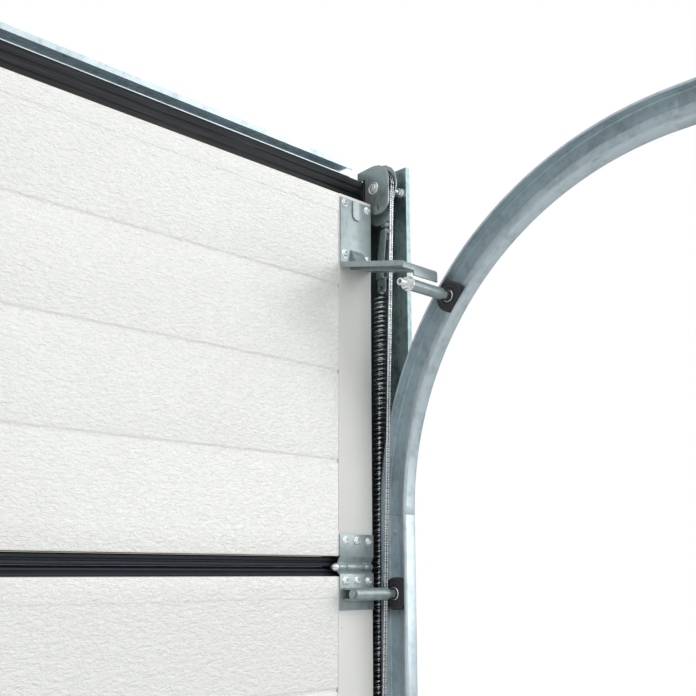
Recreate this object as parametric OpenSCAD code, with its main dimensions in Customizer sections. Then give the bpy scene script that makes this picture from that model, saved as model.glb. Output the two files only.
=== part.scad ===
// Inside gear and leaf of a sectional overhead garage door, closed position.
// +X runs along the door, +Y points out through the opening, +Z is up.
// The origin is on the floor, in the middle of the opening, on the wall's inner face.

/* [Door leaf] */
// Width of the leaf over its end caps
leaf_w = 2375; // [2000:5:3000]
// Height from one section joint to the next
section_pitch = 532.5; // [440:0.5:625]
// Height cut off the top section
top_trim = 5; // [0:0.5:40]
// Thickness of a section
leaf_t = 42; // [38:1:60]
// Sheet thickness of the skins
skin_t = 0.6; // [0.4:0.1:1]
// Width of an end cap, seen from inside
cap_w = 63.8; // [50:0.1:80]
// Sheet thickness of an end cap
cap_t = 1.5; // [1:0.1:2.5]
// Height of the dark rails at a joint, both together
rail_h = 25.5; // [24:0.5:40]
// Height of the hinge line above the white face below it
joint_rise = 11.5; // [10:0.5:12.5]
// Depth of the rails behind the leaf's inner face
rail_recess = 11; // [10.5:0.5:14]
// Gap between two sections at a joint
joint_gap = 1; // [0.6:0.1:2]
// Height of the rubber seal under the leaf
bottom_seal_h = 20; // [14:1:28]
// Distance from one pressed groove to the next
groove_pitch = 121.25; // [90:0.25:150]
// Width of a pressed groove at its mouth
groove_w = 8; // [4:0.5:12]
// Depth of a pressed groove
groove_d = 1.6; // [1:0.1:3]

/* [Tracks] */
// Gap from the leaf's end to the mouth of the track
side_gap = 16; // [15.8:0.1:20]
// Depth of the track, mouth to back
track_d = 20.5; // [20:0.5:26]
// Width of the track over its flanges
track_w = 48; // [45:0.5:56]
// Sheet thickness of the track
track_t = 1.5; // [1.2:0.1:2]
// Height of the lips at the track's mouth
lip_h = 4.5; // [3:0.5:6]
// Radius of the curve at the middle of the track
curve_r = 439.5; // [380:0.5:520]
// Distance from the leaf's inner face to the middle of the vertical track
track_q = 21; // [20:0.5:26]
// Height of the curve's centre below the top of the leaf
curve_drop = 447.5; // [440:0.5:470]
// Length of the straight ceiling track
ceiling_len = 1850; // [1500:10:2400]

/* [Rollers and hinges] */
// Diameter of a roller's tyre
tyre_d = 42; // [38:0.5:43]
// Width of a tyre
tyre_w = 14; // [10:0.5:15]
// Diameter of a roller's stem
stem_d = 10; // [8:0.5:11]
// Outer diameter of a stem's sleeve
sleeve_d = 16; // [14.5:0.5:20]
// Radial running clearance of pins and stems
fit = 0.05; // [0.02:0.01:0.1]
// Diameter of a hinge knuckle
knuckle_d = 10; // [9:0.5:12]
// Diameter of a hinge pin
pin_d = 6; // [4:0.5:6.5]
// Sheet thickness of hinges and supports
plate_t = 2.5; // [2:0.1:3]
// Width of an end hinge
hinge_w = 62; // [50:0.5:62]

/* [Top roller support] */
// Height of the fixing plate
support_h = 99.4; // [80:0.1:120]
// Distance from the leaf's inner face to the support's front edge
arm_q = 134; // [132:0.5:140]
// Drop of the arm from its plate to its front edge
arm_drop = 33.1; // [30:0.1:36]
// Distance of the stem's axis below the arm's front edge
sleeve_drop = 23.9; // [22:0.1:26]
// Distance of the stem's axis behind the arm's front edge
sleeve_back = 8; // [8:0.5:9]
// Length of the sleeve
sleeve_len = 63.2; // [50:0.1:63.5]

/* [Ropes, pulleys and springs] */
// Radius of the rope's middle round the top pulley
pulley_r = 30; // [26:0.5:32]
// Diameter of a rope
rope_d = 2.8; // [2:0.1:3.2]
// Distance between the two ropes of a side
rope_gap = 4; // [4:0.1:4.4]
// Height of the top pulley's axle above the leaf
axle_rise = 27; // [26:0.5:32]
// Radius of the rope's middle round the small pulleys
small_r = 12; // [11:0.5:13]
// Outer diameter of the outer spring
spring_d = 18.5; // [16:0.5:18.5]
// Wire diameter of the outer spring
spring_wire = 3; // [2:0.1:3.4]
// Outer diameter of the inner spring
inner_spring_d = 11; // [8:0.5:11.5]
// Height of the spring's lower end above the floor
spring_z0 = 430; // [400:5:600]

/* [Frame] */
// Gap between the leaf's outer face and the wall
seal_gap = 23; // [18:1:30]
// Sheet thickness of the jamb posts
post_t = 2; // [1.5:0.1:3]
// Width of the post's wall flange
post_flange = 72; // [68:1:90]
// Distance from the leaf's inner face to the post's front lip
post_q = 36; // [30:1:40]
// Height of the posts above the leaf
post_rise = 59; // [56:1:90]
// Width of the post's front lip
post_lip = 8; // [6:0.5:12]
// Thickness of the fascia board
fascia_t = 18; // [14:1:20]
// Diameter of the wall and ceiling fixing holes
fixing_d = 9; // [7:0.5:11]
// Height of the ceiling hangers' top above the leaf
hanger_rise = 260; // [200:10:500]

/* [Hidden] */
$fn = 48;

sections = 4;
z_top = sections * section_pitch - top_trim;
end_x = leaf_w / 2;
face_x = end_x - cap_w;
inner_y = -(seal_gap + leaf_t);
outer_y = -seal_gap;
clear = 0.5;

// Y of a point that stands q inside the leaf's inner face
function y_at(q) = inner_y - q;
// Bottom of the white face of section n, counted from 0
function face_z(n) = n * section_pitch + rail_h;
// Top of the white face of section n
function white_top(n) = n == sections - 1 ? z_top : (n + 1) * section_pitch;
// Height of the hinge line above section n
function joint_z(n) = white_top(n) + joint_rise;

mouth_x = end_x + side_gap;
back_x = mouth_x + track_d;
curve_y = y_at(track_q + curve_r);
curve_z = z_top - curve_drop;
tyre_x = mouth_x + track_t + 1;
stem_end_x = tyre_x + tyre_w + 0.5;

axle_z = z_top + axle_rise;
axle_y = y_at(0.6);
rope_x = end_x + 12.2;
plate_a_x = rope_x - 7;
pulley_w = 7.5;
plate_b_x = rope_x + 5.5;
web_x = back_x;

spring_x = end_x + 26.2;
spring_top = [y_at(-8), z_top - 132];
spring_end = [y_at(-32), spring_z0];
spring_lean = atan((spring_end[0] - spring_top[0]) / (spring_top[1] - spring_end[1]));
block_x = spring_x - 2;
block_y = y_at(-30);
block_z = spring_z0 - 95;
floor_y = y_at(-38);
floor_z = 60;
anchor_z = 100;
rope_pin_y = y_at(-36.5);
rope_pin_z = 118;

sleeve_y = y_at(arm_q - sleeve_back);
plate_top_z = z_top - 5;
plate_z = plate_top_z - support_h;
arm_z = plate_z - arm_drop;
sleeve_z = arm_z - sleeve_drop;
holder_drop = 34;
hinge_q = -3.2;
hinge_y = y_at(hinge_q);
hinge_x = end_x - 1.5 - hinge_w / 2;

steel = [0.70, 0.73, 0.75];
white = [0.93, 0.93, 0.90];
dark = [0.12, 0.13, 0.15];

// Draws its children on the right and, mirrored, on the left
module both() {
  children();
  mirror([1, 0, 0]) children();
}
// Extrudes a (Y, Z) outline from x0 to x1
module along_x(x0, x1) {
  translate([x0, 0, 0]) rotate([90, 0, 90]) linear_extrude(x1 - x0) children();
}
// Round bar or hole along X
module rod_x(x0, x1, y, z, d) {
  translate([x0, y, z]) rotate([0, 90, 0]) cylinder(h = x1 - x0, d = d);
}
// Round bar or hole along Y
module rod_y(y0, y1, x, z, d) {
  translate([x, y0, z]) rotate([-90, 0, 0]) cylinder(h = y1 - y0, d = d);
}
// Box from its lowest to its highest corner
module block(a, b) {
  translate(a) cube(b - a);
}
// Hexagonal prism along X
module hex_x(x0, x1, y, z, across) {
  translate([x0, y, z]) rotate([0, 90, 0]) cylinder(h = x1 - x0, d = across / cos(30), $fn = 6);
}
// Round bar between two points, a hair short at both ends
module strand(a, b, d, trim = 0.15) {
  v = b - a;
  h = norm(v);
  translate(a) rotate([0, acos(v[2] / h), atan2(v[1], v[0])])
    translate([0, 0, trim]) cylinder(h = h - 2 * trim, d = d, $fn = 16);
}

// ---- Frame ----
post_holes = [300, 900, 1400, z_top - 80];
hole_x = end_x + 20;
module post_right() {
  color(steel) difference() {
    union() {
      block([web_x, y_at(post_q), 0], [web_x + post_t, 0, z_top + post_rise]);
      block([web_x, y_at(post_q), 0], [web_x + post_lip, y_at(post_q) + post_t, z_top + post_rise]);
      block([web_x + post_t - post_flange, -post_t, 0], [web_x + post_t, 0, z_top + post_rise]);
    }
    for (z = post_holes) rod_y(-post_t - 1, 1, hole_x, z, fixing_d);
  }
}
module jamb_post_right() { post_right(); }
module jamb_post_left() { mirror([1, 0, 0]) post_right(); }

// Track section: first axis is the radius from the curve's centre, second is X
module track_outline() {
  r0 = curve_r - track_w / 2;
  r1 = curve_r + track_w / 2;
  polygon([[r0, mouth_x], [r0 + lip_h, mouth_x], [r0 + lip_h, mouth_x + track_t],
    [r0 + track_t, mouth_x + track_t], [r0 + track_t, back_x - track_t],
    [r1 - track_t, back_x - track_t], [r1 - track_t, mouth_x + track_t],
    [r1 - lip_h, mouth_x + track_t], [r1 - lip_h, mouth_x], [r1, mouth_x], [r1, back_x],
    [r0, back_x]]);
}
module vertical_track() {
  color(steel) translate([0, curve_y, 0]) linear_extrude(curve_z)
    rotate(90) mirror([0, 1]) track_outline();
}
module curved_track() {
  color(steel) translate([0, curve_y, curve_z]) rotate([90, 0, 90])
    rotate_extrude(angle = 90, $fn = 96) track_outline();
}
module ceiling_track() {
  color(steel) translate([0, curve_y, curve_z]) rotate([90, 0, 0]) linear_extrude(ceiling_len)
    rotate(90) mirror([0, 1]) track_outline();
}
module track_vertical_right() { vertical_track(); }
module track_vertical_left() { mirror([1, 0, 0]) vertical_track(); }
module track_curve_right() { curved_track(); }
module track_curve_left() { mirror([1, 0, 0]) curved_track(); }
module track_ceiling_right() { ceiling_track(); }
module track_ceiling_left() { mirror([1, 0, 0]) ceiling_track(); }

// Plates that join the curve to the ceiling track, outside the track's back
splice_t = 3;
module track_splices() {
  color(steel) both() {
    block([back_x, curve_y - 70, curve_z + curve_r - 18],
      [back_x + splice_t, curve_y + 70, curve_z + curve_r + 18]);
    for (dy = [-50, -20, 20, 50])
      rod_x(back_x + splice_t, back_x + splice_t + 5, curve_y + dy, curve_z + curve_r, 11);
  }
}
rear_y = curve_y - ceiling_len;
hanger_y = rear_y + 120;
hanger_w = 40;
hanger_t = 3;
hanger_top = z_top + hanger_rise;
hanger_hole_dx = 25;
module ceiling_hangers() {
  color(steel) both() difference() {
    union() {
      block([back_x, hanger_y - hanger_w / 2, curve_z + curve_r - track_w / 2],
        [back_x + hanger_t, hanger_y + hanger_w / 2, hanger_top]);
      block([back_x, hanger_y - hanger_w / 2, hanger_top - hanger_t],
        [back_x + 70, hanger_y + hanger_w / 2, hanger_top]);
    }
    for (dx = [0, 30])
      translate([back_x + hanger_hole_dx + dx, hanger_y, hanger_top - hanger_t - 1])
        cylinder(h = hanger_t + 2, d = fixing_d);
  }
}
module rear_rail() {
  color(steel) translate([0, rear_y, 0]) along_x(-back_x, back_x)
    polygon([[-2, curve_z + curve_r - 26], [-2, curve_z + curve_r + 26],
      [-34, curve_z + curve_r + 26], [-34, curve_z + curve_r + 24],
      [-4, curve_z + curve_r + 24], [-4, curve_z + curve_r - 26]]);
}
fascia_z = [z_top - 17, z_top + 58];
module fascia_board() {
  color(dark) block([-(web_x - 2), -fascia_t - 2, fascia_z[0]], [web_x - 2, -2, fascia_z[1]]);
}
module fascia_rail() {
  z0 = fascia_z[1];
  color(steel) along_x(-(end_x + 1), end_x + 1)
    polygon([[-2, z0 + 0.2], [-2, z0 + 18], [-26, z0 + 18], [-26, z0 + 10], [-24.5, z0 + 10],
      [-24.5, z0 + 16.5], [-3.5, z0 + 16.5], [-3.5, z0 + 1.7], [-20, z0 + 1.7], [-20, z0 + 0.2]]);
}
// Lip seals that close the gap between the leaf's outer face and the frame
module frame_seals() {
  color(dark) {
    both() block([end_x - 22, outer_y + clear, 2], [end_x - 10, -post_t, fascia_z[0] - 1]);
    block([-(end_x - 24), outer_y + clear, fascia_z[0] - 12], [end_x - 24, -2, fascia_z[0] - 0.2]);
  }
}

// ---- Top pulley and its bracket ----
module bracket() {
  nose = [axle_y, axle_z + 6.5];
  color(steel) difference() {
    union() {
      along_x(plate_a_x, plate_a_x + plate_t) {
        hull() {
          translate(nose) circle(d = 58);
          translate([axle_y - 11, z_top + 3]) circle(d = 36);
        }
        polygon([[axle_y, z_top + 62], [y_at(-33), z_top + 60.5], [y_at(-33), z_top + 46.5],
          [y_at(-17), z_top + 46], [y_at(-17), z_top + 4], [axle_y - 11, z_top - 14]]);
      }
      along_x(plate_b_x, plate_b_x + plate_t) hull() {
        translate(nose) circle(d = 66);
        translate([axle_y, z_top - 12]) circle(d = 30);
      }
    }
    rod_x(plate_a_x - 1, plate_b_x + 5, axle_y, axle_z, 8);
    along_x(plate_a_x - 1, plate_a_x + plate_t + 1) hull() {
      translate([y_at(8.5), z_top - 3.5]) circle(d = 3);
      translate([y_at(9.5), z_top - 7.5]) circle(d = 3);
    }
  }
}
module pulley_bracket_right() { bracket(); }
module pulley_bracket_left() { mirror([1, 0, 0]) bracket(); }
module pulley_axles() {
  color(steel) both() {
    rod_x(plate_a_x - 1, web_x, axle_y, axle_z, 8 - 2 * fit);
    rod_x(plate_a_x - 5, plate_a_x, axle_y, axle_z, 15);
  }
}
module bracket_bolts() {
  color(steel) both() for (p = [[y_at(24), axle_z - 9], [y_at(-16), axle_z - 18]]) {
    rod_x(plate_b_x + plate_t, web_x, p[0], p[1], 6);
    hex_x(web_x - 9, web_x - 4, p[0], p[1], 10);
  }
}
// Pulley wheel on the X axis with two rope grooves
module wheel(r, w, bore) {
  rotate([0, 90, 0]) rotate_extrude($fn = 64) difference() {
    translate([bore / 2, -w / 2]) square([r + 2 - bore / 2, w]);
    for (s = [-1, 1]) translate([r, s * rope_gap / 2]) {
      circle(d = rope_d + 0.5, $fn = 24);
      translate([0, -rope_d / 2 - 0.25]) square([4, rope_d + 0.5]);
    }
  }
}
module top_pulleys() {
  color(dark) both() translate([rope_x, axle_y, axle_z]) wheel(pulley_r, pulley_w, 8);
}

// ---- Spring gear ----
hook_hole_z = z_top - 119.5;
hook_y = y_at(-4.2);
module spring_hangers() {
  lug_y = y_at(5);
  color(steel) both() {
    block([plate_b_x + plate_t, lug_y - 6, z_top - 22], [spring_x + 4, lug_y + 6, z_top - 14]);
    rod_z(spring_x, lug_y, z_top - 46, z_top - 22, 8);
    for (x = [spring_x - 5.5, spring_x + 3.5]) along_x(x, x + 2)
      polygon([[lug_y - 5, z_top - 34], [lug_y + 5, z_top - 34], [hook_y + 6, z_top - 104],
        [hook_y - 6, z_top - 104]]);
    block([spring_x - 5.5, hook_y - 6, z_top - 106], [spring_x + 5.5, hook_y + 6, z_top - 103.5]);
    difference() {
      block([spring_x - 1.5, hook_y - 8, z_top - 128], [spring_x + 1.5, hook_y + 8, z_top - 105]);
      rod_x(spring_x - 3, spring_x + 3, hook_y, hook_hole_z, 8);
    }
  }
}
module rod_z(x, y, z0, z1, d) {
  translate([x, y, z0]) cylinder(h = z1 - z0, d = d);
}
// Coil drawn as a plain tube that follows the spring's axis
module coil(d, wire, z_in) {
  h = (spring_top[1] - spring_end[1]) / cos(spring_lean);
  translate([spring_x, spring_end[0], spring_end[1]]) rotate([spring_lean, 0, 0])
    translate([0, 0, z_in]) difference() {
      cylinder(h = h - 2 * z_in, d = d);
      translate([0, 0, -1]) cylinder(h = h + 2, d = d - 2 * wire);
    }
}
module springs_outer() {
  color(dark) both() {
    coil(spring_d, spring_wire, 0);
    translate([spring_x, hook_y + 3, hook_hole_z - 6]) rotate([0, 0, 90]) rotate([90, 0, 0])
      rotate_extrude() translate([5.5, 0]) circle(d = 2.4, $fn = 16);
  }
}
module springs_inner() {
  color(dark) both() coil(inner_spring_d, 2, 12);
}
module spring_blocks() {
  color(steel) both() {
    for (x = [block_x - 8, block_x + 6]) along_x(x, x + 2) hull() {
      translate([block_y, block_z]) circle(d = 18);
      translate([block_y, spring_z0 - 22]) circle(d = 18);
    }
    block([block_x - 8, block_y - 8, spring_z0 - 16], [block_x + 8, block_y + 8, spring_z0 - 12]);
    rod_x(block_x - 8, block_x + 8, block_y, block_z, 6);
    rod_z(spring_x, block_y, spring_z0 - 14, spring_z0 - 1, 6);
  }
}
module block_pulleys() {
  color(dark) both() translate([block_x, block_y, block_z]) wheel(small_r, 8, 6 + 2 * fit);
}
module floor_brackets() {
  color(steel) both() {
    for (x = [block_x - 8, block_x + 6]) along_x(x, x + 2)
      polygon([[floor_y - 9, 20], [floor_y + 9, 20], [floor_y + 9, anchor_z + 8],
        [floor_y - 9, anchor_z + 8]]);
    block([block_x - 8, floor_y - 9, 20], [web_x, floor_y + 9, 24]);
    rod_x(block_x - 8, web_x, floor_y, floor_z, 6);
    rod_x(block_x - 8, web_x, floor_y, anchor_z, 6);
  }
}
module floor_pulleys() {
  color(dark) both() translate([block_x, floor_y, floor_z]) wheel(small_r, 8, 6 + 2 * fit);
}
module each_rope() {
  for (s = [-1, 1]) translate([s * rope_gap / 2, 0, 0]) children();
}
// Half a turn of rope over (side 1) or under (side -1) a pulley
module wrap(x, y, z, r, side) {
  translate([x, y, z]) rotate([90, 0, 90]) rotate([0, 0, side > 0 ? 0 : 180])
    rotate_extrude(angle = 180, $fn = 64) translate([r, 0]) circle(d = rope_d, $fn = 16);
}
module door_ropes() {
  color(steel) both() each_rope()
    strand([rope_x, axle_y - pulley_r, axle_z], [rope_x, rope_pin_y, rope_pin_z + 4], rope_d);
}
module back_ropes() {
  color(steel) both() each_rope() {
    wrap(rope_x, axle_y, axle_z, pulley_r, 1);
    strand([rope_x, axle_y + pulley_r, axle_z], [block_x, floor_y + small_r, floor_z], rope_d);
    wrap(block_x, floor_y, floor_z, small_r, -1);
  }
}
module block_ropes() {
  color(steel) both() each_rope() {
    strand([block_x, floor_y - small_r, floor_z], [block_x, block_y - small_r, block_z], rope_d);
    wrap(block_x, block_y, block_z, small_r, 1);
    strand([block_x, block_y + small_r, block_z], [block_x, floor_y + 2, anchor_z + 3], rope_d);
  }
}

// ---- Leaf ----
// Heights of the pressed grooves above the bottom of a section's white face
function groove_z(h) = [for (i = [1, 2, 3]) h / 2 + (i - 2) * groove_pitch - 7];
// Face line of a section, outwards by t from the inner face, from bottom to top
function face_line(z0, z1, y, t) = concat([[y + t, z0]],
  [for (g = groove_z(z1 - z0)) for (p = [[0, -groove_w / 2], [groove_d, -groove_w / 5],
    [groove_d, groove_w / 5], [0, groove_w / 2]]) [y + t + p[0], z0 + g + p[1]]],
  [[y + t, z1]]);
function reversed(v) = [for (i = [len(v) - 1 : -1 : 0]) v[i]];
module skins(n) {
  z0 = face_z(n);
  z1 = white_top(n);
  color(white) {
    along_x(-face_x, face_x)
      polygon(concat(face_line(z0, z1, inner_y, 0), reversed(face_line(z0, z1, inner_y, skin_t))));
    along_x(-face_x, face_x)
      polygon([[outer_y - skin_t, z0], [outer_y, z0], [outer_y, z1], [outer_y - skin_t, z1]]);
  }
}
core_gap = 0.2;
module core(n) {
  z0 = face_z(n) + core_gap;
  z1 = white_top(n) - core_gap;
  color([0.9, 0.85, 0.6]) difference() {
    along_x(-(end_x - cap_t), end_x - cap_t)
      polygon(concat(face_line(z0, z1, inner_y, skin_t), [[outer_y - skin_t, z1],
        [outer_y - skin_t, z0]]));
    both() block([face_x, inner_y - 1, z0 - 1], [end_x, inner_y + cap_t, z1 + 1]);
    both() block([face_x, outer_y - cap_t, z0 - 1], [end_x, outer_y + 1, z1 + 1]);
  }
}
module end_caps(n) {
  z0 = face_z(n);
  z1 = white_top(n);
  color([0.80, 0.80, 0.77]) both() difference() {
    block([face_x, inner_y, z0], [end_x, outer_y, z1]);
    block([face_x - 1, inner_y + cap_t, z0 - 1], [end_x - cap_t, outer_y - cap_t, z1 + 1]);
  }
}
module rail(z0, z1) {
  color(dark) block([-end_x, inner_y + rail_recess, z0], [end_x, outer_y - 1, z1]);
}
module section_1_skins() { skins(0); }
module section_2_skins() { skins(1); }
module section_3_skins() { skins(2); }
module top_section_skins() { skins(3); }
module lower_cores() { for (n = [0, 1, 2]) core(n); }
module top_section_core() { core(3); }
module lower_end_caps() { for (n = [0, 1, 2]) end_caps(n); }
module top_end_caps() { end_caps(3); }
module lower_joint_rails() {
  rail(bottom_seal_h, rail_h);
  for (n = [0, 1]) {
    rail(white_top(n), joint_z(n));
    rail(joint_z(n), face_z(n + 1));
  }
  rail(white_top(2), joint_z(2) - joint_gap / 2);
}
module top_joint_rail() { rail(joint_z(2) + joint_gap / 2, face_z(3)); }
module bottom_seal() {
  color(dark) along_x(-end_x, end_x) difference() {
    polygon([[inner_y + 4, bottom_seal_h], [inner_y + 2, 0], [outer_y - 2, 0],
      [outer_y - 4, bottom_seal_h]]);
    translate([(inner_y + outer_y) / 2, bottom_seal_h / 2 - 1]) circle(d = bottom_seal_h / 2);
  }
}

// ---- Hinges ----
knuckle_gap = 0.4;
upper_h = 42;
lower_h = 54;
upper_low = 13;
lower_low = joint_rise - 2.7;
web_q = 1.8;
// Shares of the hinge's width at which its three knuckles meet
knuckle_cut = [0, 0.24, 0.75, 1];
// One leaf of a hinge at height z; dir is 1 for the upper leaf, -1 for the lower.
// The plate lies on the section, a web bends back into the joint and carries the knuckles.
module hinge_leaf(z, dir, low, h) {
  bore = pin_d + (dir > 0 ? 2 * fit : 0);
  shelf = knuckle_d / 2 + 1.4;
  color(steel) difference() {
    union() {
      translate([-hinge_w / 2, y_at(plate_t), dir > 0 ? z + low : z - h])
        cube([hinge_w, plate_t, h - low]);
      translate([0, 0, z]) mirror([0, 0, dir > 0 ? 0 : 1]) along_x(-hinge_w / 2, hinge_w / 2)
        polygon([[y_at(plate_t), low], [y_at(0), low], [hinge_y + web_q, shelf],
          [hinge_y - web_q, shelf]]);
      for (i = [0 : 2]) if ((i % 2 == 0) == (dir > 0))
        translate([(knuckle_cut[i] - 0.5) * hinge_w + knuckle_gap / 2, 0, 0]) {
          w = (knuckle_cut[i + 1] - knuckle_cut[i]) * hinge_w - knuckle_gap;
          rod_x(0, w, hinge_y, z, knuckle_d);
          translate([0, hinge_y - web_q, dir > 0 ? z : z - shelf]) cube([w, 2 * web_q, shelf]);
        }
    }
    rod_x(-hinge_w, hinge_w, hinge_y, z, bore);
  }
}
hinge_xs = [-hinge_x, 0, hinge_x];
module hinge_row(z, dir, h) {
  for (x = hinge_xs) translate([x, 0, 0]) hinge_leaf(z, dir, dir > 0 ? upper_low : lower_low, h);
}
module hinges_1() { hinge_row(joint_z(0), 1, upper_h); hinge_row(joint_z(0), -1, lower_h); }
module hinges_2() { hinge_row(joint_z(1), 1, upper_h); hinge_row(joint_z(1), -1, lower_h); }
module hinges_3_lower_leaves() { hinge_row(joint_z(2), -1, lower_h); }
module hinges_3_upper_leaves() { hinge_row(joint_z(2), 1, upper_h); }
pin_head_h = 8;
module hinge_pins() {
  color(steel) for (n = [0, 1, 2], x = hinge_xs) {
    rod_x(x - hinge_w / 2 - 8, x + hinge_w / 2 + 1, hinge_y, joint_z(n), pin_d);
    rod_x(x - hinge_w / 2 - pin_head_h - 1, x - hinge_w / 2 - 1, hinge_y, joint_z(n), pin_d + 4);
  }
}
// Round-headed screw on a plate whose face stands q inside the leaf
module screw(x, q, z) {
  rod_y(y_at(q + 2.6), y_at(q), x, z, 10);
}
screw_dx = [-21, 0, 21];
screw_rise = 33.2;
screw_fall = 18;
module lower_screws() {
  color(steel) for (n = [0, 1, 2], x = hinge_xs, dx = screw_dx) {
    screw(x + dx, plate_t, joint_z(n) - screw_fall);
    if (n < 2) screw(x + dx, plate_t, joint_z(n) + screw_rise);
  }
}
roller_row_z = [for (n = [0, 1, 2]) joint_z(n) - holder_drop];
bottom_roller_z = 70;
module holder(z) {
  difference() {
    union() {
      rod_x(hinge_x - hinge_w / 2 + 6, end_x + 3, y_at(track_q), z, sleeve_d);
      block([hinge_x - hinge_w / 2 + 6, y_at(track_q), z - sleeve_d / 2],
        [hinge_x + hinge_w / 2, y_at(plate_t), z - sleeve_d / 2 + plate_t]);
      block([hinge_x - hinge_w / 2 + 6, y_at(track_q), z + sleeve_d / 2 - plate_t],
        [hinge_x + hinge_w / 2, y_at(plate_t), z + sleeve_d / 2]);
    }
    rod_x(hinge_x - hinge_w, end_x + 9, y_at(track_q), z, stem_d);
  }
}
module roller_holders() {
  color(steel) both() for (z = roller_row_z) holder(z);
}
module roller_stems() {
  color(steel) both() for (z = concat([bottom_roller_z], roller_row_z))
    rod_x(hinge_x - 28, stem_end_x, y_at(track_q), z, stem_d);
}
module bottom_brackets() {
  color(steel) both() {
    difference() {
      union() {
        block([end_x - 62, y_at(plate_t), 24], [end_x - 1, y_at(0), 130]);
        rod_x(hinge_x - hinge_w / 2 + 6, end_x + 3, y_at(track_q), bottom_roller_z, sleeve_d);
        for (dz = [-1, 1]) block([hinge_x - hinge_w / 2 + 6, y_at(track_q),
          bottom_roller_z + dz * (sleeve_d / 2 - plate_t / 2) - plate_t / 2],
          [end_x - 3, y_at(1), bottom_roller_z + dz * (sleeve_d / 2 - plate_t / 2) + plate_t / 2]);
        block([end_x, y_at(plate_t), 24], [end_x + plate_t, y_at(-leaf_t + 2), 130]);
        block([end_x - 2, y_at(plate_t), 24], [end_x + plate_t, y_at(0), 130]);
      }
      rod_x(hinge_x - hinge_w, end_x + 9, y_at(track_q), bottom_roller_z, stem_d);
    }
    rod_x(end_x + 0.5, rope_x + 6, rope_pin_y, rope_pin_z, 6);
    rod_x(rope_x + 4.5, rope_x + 6, rope_pin_y, rope_pin_z, 10);
  }
}
// Roller on the X axis: hub towards the leaf, tyre inside the track
hub_len = 7.5;
module roller(y, z) {
  color(dark) translate([tyre_x, y, z]) rotate([0, 90, 0]) difference() {
    union() {
      cylinder(h = tyre_w, d = tyre_d - 2);
      translate([0, 0, 1.5]) cylinder(h = tyre_w - 3, d = tyre_d);
      translate([0, 0, -hub_len]) cylinder(h = hub_len + 1, d = 15);
    }
    translate([0, 0, -hub_len - 1]) cylinder(h = tyre_w + hub_len + 2, d = stem_d + 2 * fit);
  }
}
module rollers_bottom() { both() roller(y_at(track_q), bottom_roller_z); }
module rollers_1() { both() roller(y_at(track_q), roller_row_z[0]); }
module rollers_2() { both() roller(y_at(track_q), roller_row_z[1]); }
module rollers_3() { both() roller(y_at(track_q), roller_row_z[2]); }
module top_roller_right() { roller(sleeve_y, sleeve_z); }
module top_roller_left() { mirror([1, 0, 0]) roller(sleeve_y, sleeve_z); }

// ---- Top roller support ----
arm_left = end_x - 79.6;
arm_right = end_x - 12.5;
plate_left = face_x + 0.5;
plate_right = end_x - 3;
sleeve_x = end_x - 59.5;
arm_angle = atan(arm_drop / (arm_q - plate_t));
arm_len = (arm_q - plate_t) / cos(arm_angle);
front_lip_h = 6;
module support() {
  color(steel) difference() {
    union() {
      block([plate_left, y_at(plate_t), plate_z], [plate_right, y_at(0), plate_top_z]);
      block([plate_left + 20, y_at(plate_t + 2), plate_top_z - 22],
        [plate_left + 31, y_at(1), plate_top_z]);
      // Sloping arm with its side and front flanges, drawn flat and tipped down
      translate([0, y_at(plate_t), plate_z]) rotate([arm_angle, 0, 0]) {
        linear_extrude(plate_t) polygon([[plate_left, plate_t], [plate_right, plate_t],
          [arm_right, -arm_len], [arm_left, -arm_len]]);
        translate([0, 0, -8]) linear_extrude(9) polygon([[plate_left, 0],
          [plate_left + plate_t, 0], [arm_left + plate_t, -arm_len], [arm_left, -arm_len]]);
      }
      block([arm_left, y_at(arm_q), arm_z - front_lip_h],
        [arm_right, y_at(arm_q - plate_t), arm_z + plate_t]);
      block([sleeve_x + 1, y_at(arm_q), sleeve_z + sleeve_d / 2 - 4],
        [arm_right, y_at(arm_q - plate_t), arm_z + plate_t]);
      rod_x(sleeve_x, sleeve_x + sleeve_len, sleeve_y, sleeve_z, sleeve_d);
    }
    rod_x(sleeve_x - 40, sleeve_x + sleeve_len + 20, sleeve_y, sleeve_z, stem_d + 2 * fit);
  }
}
module top_support_right() { support(); }
module top_support_left() { mirror([1, 0, 0]) support(); }
module top_stems() {
  color(steel) both() difference() {
    rod_x(sleeve_x - 18, stem_end_x, sleeve_y, sleeve_z, stem_d);
    rod_x(sleeve_x - 19, sleeve_x - 4, sleeve_y, sleeve_z, stem_d / 2);
  }
}
module stem_nuts() {
  color(steel) both() difference() {
    union() {
      rod_x(sleeve_x - 2, sleeve_x, sleeve_y, sleeve_z, 20);
      hex_x(sleeve_x - 8, sleeve_x - 1, sleeve_y, sleeve_z, 15);
    }
    rod_x(sleeve_x - 9, sleeve_x + 1, sleeve_y, sleeve_z, stem_d);
  }
}
module top_screws() {
  color(steel) {
    both() for (x = [plate_left + 7.8, plate_right - 7.8], z = [plate_z + 15.4, plate_top_z - 7.5])
      screw(x, plate_t, z);
    for (x = hinge_xs, dx = screw_dx) screw(x + dx, plate_t, joint_z(2) + screw_rise);
  }
}

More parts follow.
